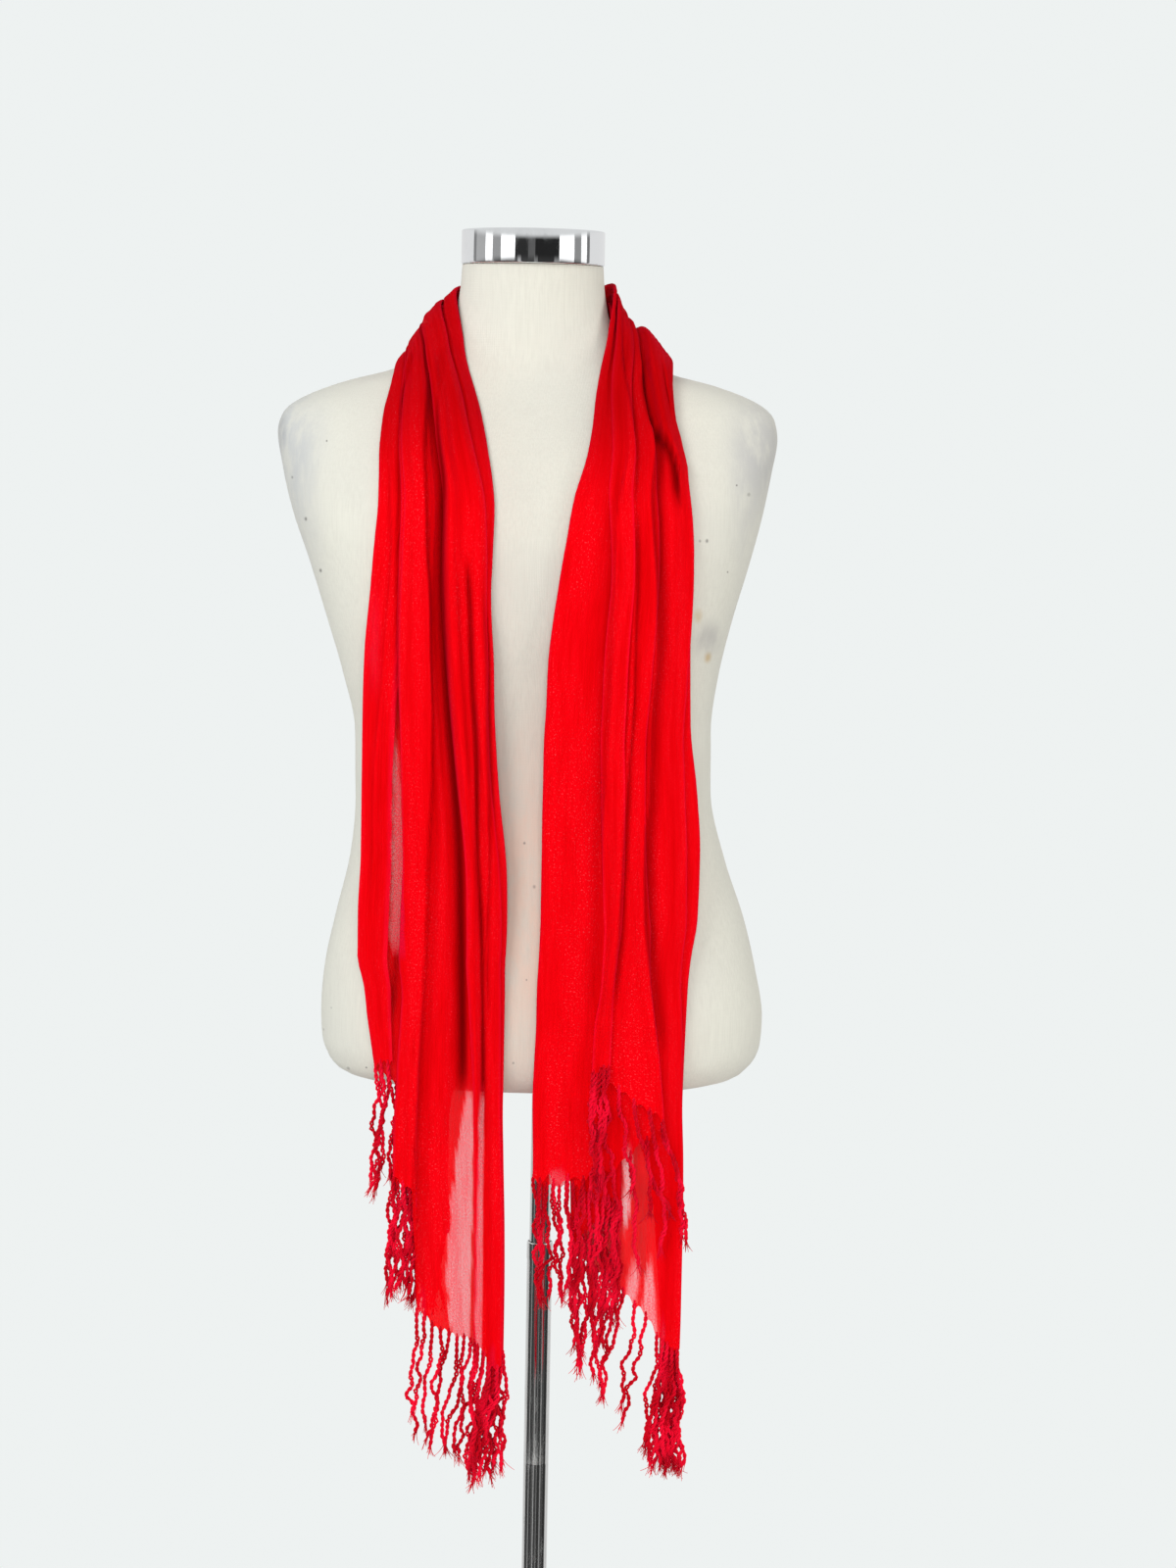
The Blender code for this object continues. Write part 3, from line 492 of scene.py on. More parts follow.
@dataclass(frozen=True)
class FormCover:
    """Off-white stretched cover of the form, greyer at the shoulders and armholes."""

    clean: tuple = colour(0.650, 0.645, 0.575)
    worn: tuple = colour(0.60, 0.595, 0.54)
    hollow: tuple = colour(0.53, 0.52, 0.465)       # between the threads
    sheen: tuple = colour(1.0, 0.98, 0.94)
    wale: float = 0.0014                            # metres
    soils: tuple[Soil, ...] = (
        Soil("left_shoulder", (-228, -30, 1292), (44, 80, 74), 0.70, colour(0.40, 0.42, 0.45)),
        Soil("left_corner", (-238, -20, 1306), (11, 60, 22), 0.70, colour(0.30, 0.31, 0.33)),
        Soil("left_armhole", (-214, -40, 1225), (26, 90, 70), 0.34, colour(0.46, 0.47, 0.48)),
        Soil("right_shoulder", (180, -35, 1298), (44, 80, 66), 0.70, colour(0.40, 0.40, 0.41)),
        Soil("right_armhole", (166, -50, 1250), (20, 80, 70), 0.38, colour(0.46, 0.46, 0.46)),
        Soil("right_flank", (136, -62, 1138), (17, 60, 20), 0.62, colour(0.38, 0.37, 0.36)),
        # painted light: a warm red glow on the waist between the panels, standing in for light thrown back from the
        # scarf
        Soil("painted_red_bounce_waist", (-22, -105, 905), (62, 70, 190), 0.60, colour(0.80, 0.56, 0.45)),
        Soil("rust_high", (126, -79, 1159), (5, 20, 8), 0.85, colour(0.50, 0.36, 0.18)),
        Soil("rust_low", (136, -57, 1122), (5, 20, 6), 0.80, colour(0.50, 0.37, 0.20)),
    )
    # small dark marks on the front: x and z
    speck: tuple = colour(0.16, 0.15, 0.14)
    speck_y: float = -70.0
    specks: tuple[tuple[float, float], ...] = (
        (-193, 1301), (-224, 1269), (-211, 1234), (157, 1270), (126, 1223), (132, 1223), (-185, 809), (-193, 786),
        (-169, 757), (-152, 762), (-18, 964), (-9, 927), (-14, 848), (-24, 776), (168, 1262), (151, 1196),
        (104, 1290), (-198, 1190), (60, 1120), (-60, 1040))

    def build(self, knit: ShaderGroup) -> bpy.types.Material:
        """Make the material.

        Args:
            knit: the cover's grain effect.

        Returns:
            The material.
        """
        finish = Finish("form_cover")
        bench = finish.bench
        place = bench.place()
        grain = knit.use(bench, {"Vector": place, "Wale": self.wale}).outputs
        cloud = bench.noise(place, 9.0, 3.0, 0.55)
        tone = bench.mix(bench.spread(cloud, 0.38, 0.66, 0.0, 0.6), self.clean, self.worn)
        tone = bench.mix(bench.spread(grain["Tone"], 0.35, 0.7, 0.0, 0.35), tone, self.hollow)
        smear = bench.grain(place, (60.0, 60.0, 26.0), 4.0, 0.65)
        for cover_patch in self.soils:
            tone = self.stain(bench, place, smear, cover_patch, tone)
        for i, (x, z) in enumerate(self.specks):
            reach = 1.0 + 0.45 * (i % 3)
            mark = Soil("speck", (x, self.speck_y, z), (reach, 90, reach * 1.2), 1.0, self.speck)
            tone = self.stain(bench, place, smear, mark, tone)
        finish.set({
            "Base Color": tone,
            "Roughness": 0.9,
            "Specular IOR Level": 0.15,
            "Sheen Weight": 0.15,
            "Sheen Roughness": 0.5,
            "Sheen Tint": self.sheen,
        })
        finish.bump(grain["Height"], 0.0004, 0.45)
        return finish.material

    @staticmethod
    def stain(bench: NodeBench, place: Socket, smear: Socket, cover_patch: Soil,
              tone: Socket) -> Socket:
        """Lay one soft patch over the cover's colour.

        Args:
            bench: the material's nodes.
            place: object coordinates.
            smear: uneven value that breaks the patch up.
            cover_patch: the patch.
            tone: the colour so far.

        Returns:
            The colour with the patch.
        """
        centre = [c * MM for c in cover_patch.centre]
        away = bench.add("ShaderNodeVectorMath", {0: place, 1: centre}, operation="SUBTRACT").outputs[0]
        scaled = bench.stretch(away, tuple(1 / (r * MM) for r in cover_patch.reach))
        distance = bench.add("ShaderNodeVectorMath", {0: scaled}, operation="LENGTH").outputs["Value"]
        core = bench.spread(distance, 0.15, 1.15, 1.0, 0.0)
        uneven = bench.spread(smear, 0.30, 0.62, 0.35, 1.0)
        share = bench.times(bench.times(core, uneven), cover_patch.strength)
        return bench.mix(share, tone, cover_patch.tint)


@dataclass(frozen=True)
class BrightMetal:
    """Chromed steel with faint handling marks."""

    name: str
    roughness: float
    marks: float                        # roughness added where it was handled
    tint: tuple = colour(0.86, 0.87, 0.88)
    dull: float = 0.86                  # brightness of the smudges

    def build(self) -> bpy.types.Material:
        """Make the material."""
        finish = Finish(self.name)
        bench = finish.bench
        place = bench.place()
        smudge = bench.noise(place, 40.0, 3.0, 0.6)
        scratch = bench.grain(place, (700.0, 700.0, 14.0))
        low, high = self.roughness, self.roughness + self.marks
        tone = bench.mix(bench.spread(smudge, 0.45, 0.75, 0.0, 0.5), self.tint,
                         colour(*(self.dull * c for c in self.tint[:3])))
        finish.set({
            "Base Color": tone,
            "Metallic": 1.0,
            "Roughness": bench.spread(bench.times(smudge, scratch), 0.22, 0.42, low, high),
        })
        return finish.material


# ------------------------------------------------------------------ form and stand
@dataclass
class DressForm:
    """The limbless torso: rounded sections stacked up the body."""

    sides: int = 128
    rows_per_metre: float = 260.0
    # height, centre x, half width, front depth, back depth, squareness of the section
    sections: tuple = (
        (745, -3, 148, 86, 84, 2.3),
        (745.8, -3, 162, 93, 90, 2.3),
        (749, -3, 173, 101, 97, 2.3),
        (756, -3, 183, 108, 103, 2.3),
        (766, -2, 190, 112.5, 107, 2.3),
        (780, -2, 194, 114.5, 110, 2.3),
        (800, -2, 195, 115, 111, 2.3),
        (843, -4, 190, 113, 111, 2.3),
        (887, -5, 180, 108, 107, 2.3),
        (939, -8, 165, 103, 101, 2.3),
        (1000, -13, 156, 101, 98, 2.3),
        (1050, -14, 156, 103, 99, 2.3),
        (1100, -17, 164, 108, 103, 2.35),
        (1150, -19, 177, 115, 108, 2.4),
        (1200, -20, 192, 118, 112, 2.4),
        (1240, -22, 204, 113, 113, 2.4),
        (1282, -23, 213, 98, 110, 2.4),
        (1308, -23, 217, 84, 102, 2.3),
        (1325, -22, 213, 74, 94, 2.2),
        (1337, -20, 200, 67, 87, 2.1),
        (1347, -19, 178, 62, 82, 2.0),
        (1355, -19, 153, 58, 78, 2.0),
        (1361, -20, 128, 56, 75, 2.0),
        (1370, -21, 104, 55, 71, 2.0),
        (1385, -21, 83, 54, 68, 2.0),
        (1405, -21, 69, 54, 65, 2.0),
        (1430, -21, 63, 55, 62, 2.0),
        (1454, -21, 61, 57, 60, 2.0),
    )

    def rings(self) -> Values:
        """Every section of the finished surface, in metres."""
        table = np.array(self.sections, float)
        span = table[-1, 0] - table[0, 0]
        even = np.linspace(table[0, 0], table[-1, 0], int(span * MM * self.rows_per_metre))
        heights = np.unique(np.concatenate([even, table[:, 0]]))
        rows = smooth_lookup(table[:, 0], table[:, 1:], heights)
        cos, sin = circle(self.sides)
        rings = []
        for z, (centre, half, front, back, square) in zip(heights, rows):
            power = 2 / square
            x = centre + half * np.sign(cos) * np.abs(cos) ** power
            y = np.where(sin > 0, back, front) * np.sign(sin) * np.abs(sin) ** power
            rings.append(np.stack([x, y, np.full_like(x, z)], axis=1))
        return np.array(rings) * MM

    def build(self, material: bpy.types.Material) -> BVHTree:
        """Make the cover.

        Args:
            material: its finish.

        Returns:
            The surface that the cloth is laid on.
        """
        verts, faces = ring_stack(self.rings())
        cover = mesh_object("form_cover", verts, faces, material, sharp_angle=50)
        place_piece(cover, "form_cover", "dress_form_torso")
        return BVHTree.FromPolygons([Vector(v) for v in verts], faces)


@dataclass(frozen=True)
class TurnedPiece:
    """A metal piece turned round an upright axis."""

    name: str
    slot: str
    node: str
    profile: tuple[tuple[float, float], ...]    # height and radius, lowest first
    centre_x: float = 0.0
    sides: int = 96

    def build(self, material: bpy.types.Material) -> None:
        """Make the piece and let it stand for its solid."""
        verts, faces = turned(self.profile, self.sides, self.centre_x)
        place_piece(mesh_object(self.name, verts, faces, material, sharp_angle=32), self.slot, self.node)


def rounded(corner: tuple[float, float], radius: float, start: float, steps: int = 5) -> list:
    """Points of a quarter round in a profile.

    Args:
        corner: height and radius of the arc's centre.
        radius: the arc's radius.
        start: its first angle in degrees, 0 outwards and 90 upwards.
        steps: how many chords.

    Returns:
        Height and radius pairs.
    """
    z, r = corner
    angles = [math.radians(start + 90 * i / steps) for i in range(steps + 1)]
    return [(z + radius * math.sin(a), r + radius * math.cos(a)) for a in angles]


@dataclass
class Stand:
    """Neck band, telescopic pole and round base."""

    neck_x: float = -21.0
    band: tuple[float, float, float] = (1454.4, 1483.8, 62.0)

    def pieces(self) -> list[TurnedPiece]:
        """The turned pieces from the top down."""
        low, high, radius = self.band
        edge = 1.3
        band = (*rounded((low + edge, radius - edge), edge, -90), *rounded((high - edge, radius - edge), edge, 0),
                (high - 0.9, radius - 6.0), (high - 0.9, radius - 30.0))
        inner = ((593.4, 9.4), (744.6, 9.4))
        outer = ((32.4, 11.2), (389.0, 11.2), (389.3, 11.15), (389.9, 11.15), (390.2, 11.2), (576.0, 11.2),
                 (577.5, 11.5), (591.4, 11.5), *rounded((592.0, 10.9), 0.6, 0, 3), (592.6, 10.2), (590.0, 9.9))
        base = (*rounded((2.0, 173.0), 2.0, -90), *rounded((5.6, 171.6), 3.4, 0), (9.9, 150.0), (12.0, 27.0),
                *rounded((14.0, 24.0), 2.0, -90, 3), (29.8, 22.0), *rounded((30.2, 20.0), 1.8, 0, 4))
        return [
            TurnedPiece("neck_band", "cap_metal", "neck_cap", band, self.neck_x, 160),
            TurnedPiece("inner_tube", "inner_tube_metal", "pole_inner", inner),
            TurnedPiece("outer_tube", "outer_tube_metal", "pole_outer", outer),
            TurnedPiece("base_disc", "base_metal", "base_plate", base, sides=160),
        ]

    def build(self) -> None:
        """Make every piece of the stand."""
        chrome = BrightMetal("band_chrome", 0.03, 0.06).build()
        tube = BrightMetal("tube_chrome", 0.08, 0.14, colour(0.80, 0.80, 0.79)).build()
        for piece in self.pieces():
            piece.build(chrome if piece.name == "neck_band" else tube)


# ------------------------------------------------------------------------- the scarf
@dataclass(frozen=True)
class FoldRow:
    """One turning point or soft crest of the zigzag, met in order across the cloth."""

    name: str
    turn: Turn
    lift: float | tuple[float, ...]     # off the form, once or for each level
    shares: tuple[float, ...]           # of the panel's width, from its outer edge
    ridge: float = 0.0                  # lift over the shoulder and the nape

    def lift_at(self, level: int) -> float:
        """Lift at a level, counted from the hem."""
        if level in (-1, len(self.shares) - 1):
            return self.ridge
        return self.lift[level] if isinstance(self.lift, tuple) else self.lift


@dataclass(frozen=True)
class FoldLine:
    """A main fold's edge on the hanging cloth: how far it stands out on each side of a line."""

    side: Side
    line: tuple[tuple[float, float], ...]
    rise_left: float
    width_left: float
    rise_right: float
    width_right: float
    edge: float = 0.9       # half width of the edge itself
    fade: float = 34.0      # length over which it grows at its low end
    fade_top: float = 34.0
    gloom: float = 0.0      # strength of the shade painted on its hollow side

    def hollow(self, away: Values) -> Values:
        """How much shade is painted on the cloth at a distance to the right of the line."""
        share = smooth_step(-self.edge, self.edge, away)
        left = np.exp(-(away / (0.8 * self.width_left)) ** 2) * (self.rise_left < 0)
        right = np.exp(-(away / (0.8 * self.width_right)) ** 2) * (self.rise_right < 0)
        return self.gloom * ((1 - share) * left + share * right)

    def rise(self, away: Values) -> Values:
        """How far the cloth stands out at a distance to the right of the line."""
        share = smooth_step(-self.edge, self.edge, away)
        left = self.rise_left * np.exp(-(away / self.width_left) ** 2)
        right = self.rise_right * np.exp(-(away / self.width_right) ** 2)
        return (1 - share) * left + share * right


@dataclass(frozen=True)
class SheerPatch:
    """A place where the weave is stretched open, with an uneven outline."""

    side: Side
    outline: tuple[tuple[float, float, float], ...]     # height, left x and right x, lowest first
    strength: float = 1.0
    soft: float = 0.8
    soft_end: float = 7.0
    ragged: float = 0.8

    def share(self, x: Values, z: Values) -> Values:
        """How open the weave is at points of the front."""
        heights, lefts, rights = zip(*self.outline)
        ragged = self.ragged * (np.sin(z / 5.3) + 0.7 * np.sin(z / 2.1 + 1.0))
        left, right = np.interp(z, heights, lefts) + ragged, np.interp(z, heights, rights) + 0.4 * ragged
        across = smooth_step(-self.soft, self.soft, x - left) * smooth_step(-self.soft, self.soft, right - x)
        up = smooth_step(-self.soft_end, self.soft_end, z - heights[0])
        return self.strength * across * up * smooth_step(-self.soft_end, self.soft_end, heights[-1] - z)


@dataclass(frozen=True)
class Crease:
    """A soft trough or ridge on the cloth, in millimetres."""

    side: Side
    row: float          # where across, between fold rows
    low: float
    high: float
    depth: float        # outwards if positive
    width: float
    lean: float = 0.0   # rows it drifts from its low to its high end


@dataclass(frozen=True)
class ScarfSizes:
    """Driving sizes of the scarf, in millimetres."""

    cut_width: float = 500.0
    cut_length: float = 1900.0
    turn: float = 1.6               # radius of a fold's turn
    clear: float = 1.6              # innermost layer off the form
    hang_y: float = -100.0
    lattice: float = 2.5            # spacing of the sections
    column: float = 2.0             # widest spacing across a leg
    free_height: float = 830.0      # below it each column runs to its own hem
    rows_low: int = 28
    rows_high: int = 166
    press: float = 0.8              # how far the stack is evened over the shoulders
    press_heights: tuple[float, float] = (1300.0, 1400.0)   # where that starts and is full
    press_reach: float = 0.13       # share of the width that it is evened over
    press_range: tuple[float, float] = (0.6, 1.2)           # least and most change of a lift
    press_columns: int = 61
    near: float = 0.03              # share of the width that counts as the same place
    thin_stack: float = 3.0         # lift of a stack where no layer lies
    shade: float = 0.45             # strength of the shade painted on the layers turned away over the shoulders
    shade_heights: tuple[float, float] = (1235.0, 1345.0)
    shade_back: tuple[float, float] = (80.0, 10.0)          # past the ridge, where it ends and is full
    bed_slope: float = 0.6
    bed_order: int = 3
    bed_columns: int = 17
    bed_step: int = 3               # sections from one measured row to the next
    bed_ray: float = 150.0          # how far outside the form is looked for
    bed_none: float = -60.0         # height of the bed where there is no form
    bed_least: float = -24.0
    far_lift: float = 40.0          # above every layer
    crease_fade: float = 0.35       # share of a crease's length over which it starts and ends

    @property
    def bed_shares(self) -> Values:
        """Shares of the width at which the bed is measured."""
        return np.linspace(0, 1, self.bed_columns)


# slow unevenness of the hems: height, wavelength and phase
HEM_WAVES = ((2.4, 41.0, 0.7), (1.5, 17.0, 2.9))
# spacing of the tassels along the cut edge, and the first one's distance from its end
TASSEL_PITCH, TASSEL_FIRST = 6.4, 3.2

# height, left outer x, left inner x, right inner x, right outer x
PANEL_RAILS = (
    (390, -141, -28, -6, 125),
    (480, -141, -28, -6, 125),
    (560, -141, -28, -6, 126),
    (640, -141, -29, -6, 126),
    (700, -141, -31, -6, 125),
    (745, -141, -32, -7, 124),
    (785, -146, -32, -6, 124),
    (812, -150, -32, -5, 124),
    (838, -153, -32, -5, 124),
    (866, -159, -32, -4, 126),
    (900, -159, -31, -3, 131),
    (955, -157, -33, -3, 132),
    (1015, -157, -40, -3, 128),
    (1070, -157, -44, -2, 123),
    (1125, -156, -46, 0, 123),
    (1175, -152, -49, 6, 123),
    (1215, -149, -48, 12, 122),
    (1255, -146, -48, 19, 118),
)

# name, inner edge x y z, outer edge x y z
OVER_SHOULDERS = (
    ("collar_left_low", (-53, -92, 1290), (-146, -84, 1288)),
    ("collar_left", (-60, -74, 1322), (-144, -66, 1318)),
    ("slope_left", (-75, -36, 1374), (-137, -40, 1351)),
    ("ridge_left", (-79, 0, 1425), (-129, 0, 1367)),
    ("nape_left", (-64, 42, 1430), (-106, 60, 1352)),
    ("nape_back", (-21, 58, 1428), (-21, 86, 1342)),
    ("nape_right", (22, 42, 1430), (66, 60, 1351)),
    ("ridge_right", (38, 0, 1426), (90, 0, 1367)),
    ("slope_right", (40, -37, 1378), (97, -41, 1350)),
    ("collar_right", (33, -76, 1322), (102, -66, 1316)),
    ("collar_right_low", (28, -92, 1290), (111, -80, 1288)),
)

IN, OUT, OVER = Turn.INNER, Turn.OUTER, Turn.CREST
LEVELS_LEFT = (560, 730, 850, 1015, 1175, 1310, "ridge_left")
FOLDS_LEFT = (
    FoldRow("front_lap", OVER, 25.5, (.77, .77, .745, .705, .60, .54, .50), 21),
    FoldRow("front_crest", OVER, 30.5, (.80, .80, .775, .77, .69, .61, .57), 24),
    FoldRow("front_crease", OVER, 24.6, (.86, .86, .83, .85, .80, .71, .66), 22),
    FoldRow("front_crest_in", OVER, 28.6, (.93, .93, .91, .905, .90, .79, .74), 24),
    FoldRow("front_tip", IN, 24.3, (.99, .985, .975, .95, .965, .86, .80), 21.5),
    FoldRow("under_tip", OUT, 21.2, (.87, .87, .885, .85, .80, .70, .62), 19.6),
    FoldRow("inner_slope", OVER, 19.9, (.91, .91, .92, .90, .87, .80, .76), 18.6),
    FoldRow("inner_crest", OVER, 19.6, (.95, .95, .955, .95, .935, .90, .88), 18.8),
    FoldRow("inner_edge", IN, 18.0, (1.0, 1.0, 1.0, 1.0, 1.0, 1.0, 1.0), 17.0),
    FoldRow("valley", OVER, 16.2, (.70, .70, .71, .68, .60, .56, .56), 16.0),
    FoldRow("flank", OVER, 17.4, (.62, .62, .65, .625, .55, .51, .51), 17.0),
    FoldRow("mid_crest", OVER, 20.4, (.52, .50, .57, .58, .51, .475, .47), 18.0),
    FoldRow("mid_crease", OVER, 19.4, (.42, .34, .47, .52, .465, .45, .43), 17.2),
    FoldRow("wide_crest", OVER, 20.6, (.34, .315, .39, .40, .37, .33, .35), 16.6),
    FoldRow("wide_edge", OUT, 16.6, (.135, .155, .285, .300, .26, .22, .24), 14.2),
    FoldRow("hidden_in", IN, 11.9, (.55, .58, .84, .90, .88, .86, .82), 11.2),
    FoldRow("outer_rise", OVER, 10.5, (.46, .46, .70, .72, .70, .66, .62), 10.2),
    FoldRow("outer_swell", OVER, 10.4, (.40, .40, .54, .56, .54, .50, .48), 10.4),
    FoldRow("wide_edge_back", OUT, 8.8, (.125, .145, .280, .300, .235, .185, .18), 10.4),
    FoldRow("back_in", IN, 5.7, (.50, .53, .80, .88, .84, .80, .74), 6.2),
    FoldRow("outer_edge", OUT, 2.8, (0, 0, 0, 0, 0, 0, 0), 3.2),
    FoldRow("outer_crest", OVER, 6.8, (.06, .06, .09, .10, .12, .11, .11), 7.2),
    FoldRow("outer_lap", OVER, 5.8, (.13, .135, .20, .228, .30, .29, .28), 5.8),
)
SHARES_NAPE = (.44, .50, .57, .64, .72, .54, .70, .86, 1.0, .58, .52, .46, .41, .36, .28,
               .74, .25, .19, .12, .50, 0, .08, .13)
LEVELS_RIGHT = (560, 690, 730, 805, 850, 975, 1175, 1310, "ridge_right")
FOLDS_RIGHT = (
    FoldRow("front_lap", OVER, 26.5, (.50, .50, .50, .50, .49, .475, .45, .56, .64), 21),
    FoldRow("front_crest", OVER, 28.6, (.54, .54, .54, .54, .53, .52, .50, .63, .70), 23),
    FoldRow("front_crease", OVER, 26.8, (.57, .57, .57, .57, .55, .56, .54, .68, .77), 22),
    FoldRow("front_crest_in", OVER, 27.6, (.60, .60, .60, .60, .565, .60, .59, .75, .84), 23),
    FoldRow("front_tip", IN, 24.3, (.62, .62, .62, .62, .58, .625, .62, .80, .91), 20.5),
    FoldRow("under_tip", OUT, 20.6, (.14, .13, .14, .20, .25, .345, .27, .345, .56), 19),
    FoldRow("inner_slope", OVER, 19.2, (.50, .50, .50, .52, .54, .58, .56, .62, .72), 17.2),
    FoldRow("inner_crest", OVER, 20.2, (.82, .82, .82, .82, .82, .83, .83, .86, .88), 17.6),
    FoldRow("inner_edge", IN, 17.8, (1.0, 1.0, 1.0, 1.0, 1.0, 1.0, 1.0, 1.0, 1.0), 15.8),
    FoldRow("valley", OVER, 16.7, (.74, .74, .74, .74, .74, .74, .74, .82, .86), 15.2),
    FoldRow("flank", OVER, 16.3, (.66, .66, .66, .66, .66, .66, .66, .70, .76), 14.8),
    FoldRow("mid_crest", OVER, 16.0, (.58, .58, .58, .58, .58, .58, .58, .62, .70), 14.8),
    FoldRow("mid_crease", OVER, 15.8, (.52, .52, .52, .52, .52, .52, .52, .54, .64), 14.6),
    FoldRow("wide_crest", OVER, 15.6, (.47, .47, .47, .47, .47, .47, .47, .47, .60), 15.4),
    FoldRow("wide_edge", OUT, 13.9, (.42, .42, .42, .42, .42, .42, .40, .40, .55), 15.0),
    FoldRow("hidden_in", IN, 10.6, (.735, .76, .80, .86, .90, .90, .90, .90, .88), 10.8),
    FoldRow("outer_rise", OVER, 10.0, (.40, .40, .40, .40, .40, .40, .34, .31, .52), 18),
    FoldRow("outer_swell", OVER, (10.9, 10.9, 10.9, 10.9, 10.9, 10.9, 12.0, 18.0, 0.0),
            (.17, .17, .17, .18, .19, .21, .17, .19, .46), 27),
    FoldRow("wide_edge_back", OUT, 8.6, (.015, .015, .02, .03, .05, .085, .015, .0, .02), 7.0),
    FoldRow("back_in", IN, 5.7, (.15, .26, .34, .38, .40, .42, .42, .44, .46), 6.2),
    FoldRow("outer_edge", OUT, 2.8, (.02, .02, .02, .01, .0, .0, .03, .03, .01), 2.8),
    FoldRow("outer_crest", OVER, 4.3, (.05, .05, .05, .05, .05, .05, .08, .08, .07), 4.6),
    FoldRow("outer_lap", OVER, 4.6, (.075, .08, .09, .10, .11, .12, .12, .12, .12), 4.4),
)
# heights of the hem, given by fold row across the cloth
HEM = {
    Side.LEFT: ((0, 537), (1, 532), (2, 524), (3, 516), (4, 515), (8, 521), (9, 535), (10, 540), (11, 549),
                (12, 556), (13, 561), (13.06, 563), (13.13, 667), (14, 675), (15, 668), (16, 662), (17, 664),
                (18, 676), (19, 725), (20, 770), (22, 773)),
    Side.RIGHT: ((0, 777), (4, 773), (5, 731), (6, 684), (6.85, 683), (7.0, 671), (7.2, 675), (7.32, 684),
                 (7.5, 677), (8, 675), (9, 672), (12, 662), (14, 656), (15, 619),
                 (16, 580), (17, 540), (18, 522), (20, 517), (22, 517)),
}
# sideways lean of the tassels at their ends, given by fold row
LEANS = {
    Side.LEFT: ((0, 1), (2, -3), (3, -12), (5, -18), (6, -9), (7.5, 0), (8, 4), (9, -14), (12, -6),
                (13.5, -5), (14, -4), (19, -3), (20, -4), (22, 2)),
    Side.RIGHT: ((0, -4), (3, 0), (4.2, 3), (4.6, 14), (5.1, 24), (5.6, 0), (15, 0), (16.6, -14), (17.6, -9), (18, 2),
                 (19, -6), (20, 3), (22, -8)),
}

# the stations above each panel, the middle cloth's heights at the first two and the outer surface's at all four
UPPER_STATIONS = ("collar_%s_low", "collar_%s", "slope_%s", "ridge_%s")
COLLAR_HEIGHTS = (1289, 1320)
SURFACE_HEIGHTS = (1293, 1332, 1383, 1430)
# lifts between which a fold line starts to move a layer and moves it fully
FOLD_REACH = (1.0, 15.0)
# fine ripples of the warp: height, distance across, drift along and phase
RIPPLES = ((0.08, 17.0, 700.0, 0.4), (0.04, 10.5, -420.0, 1.9), (0.02, 6.6, 260.0, 4.1))
# how slowly they grow and fade along and across the cloth
SWELL_ALONG, SWELL_ACROSS = 310.0, 60.0

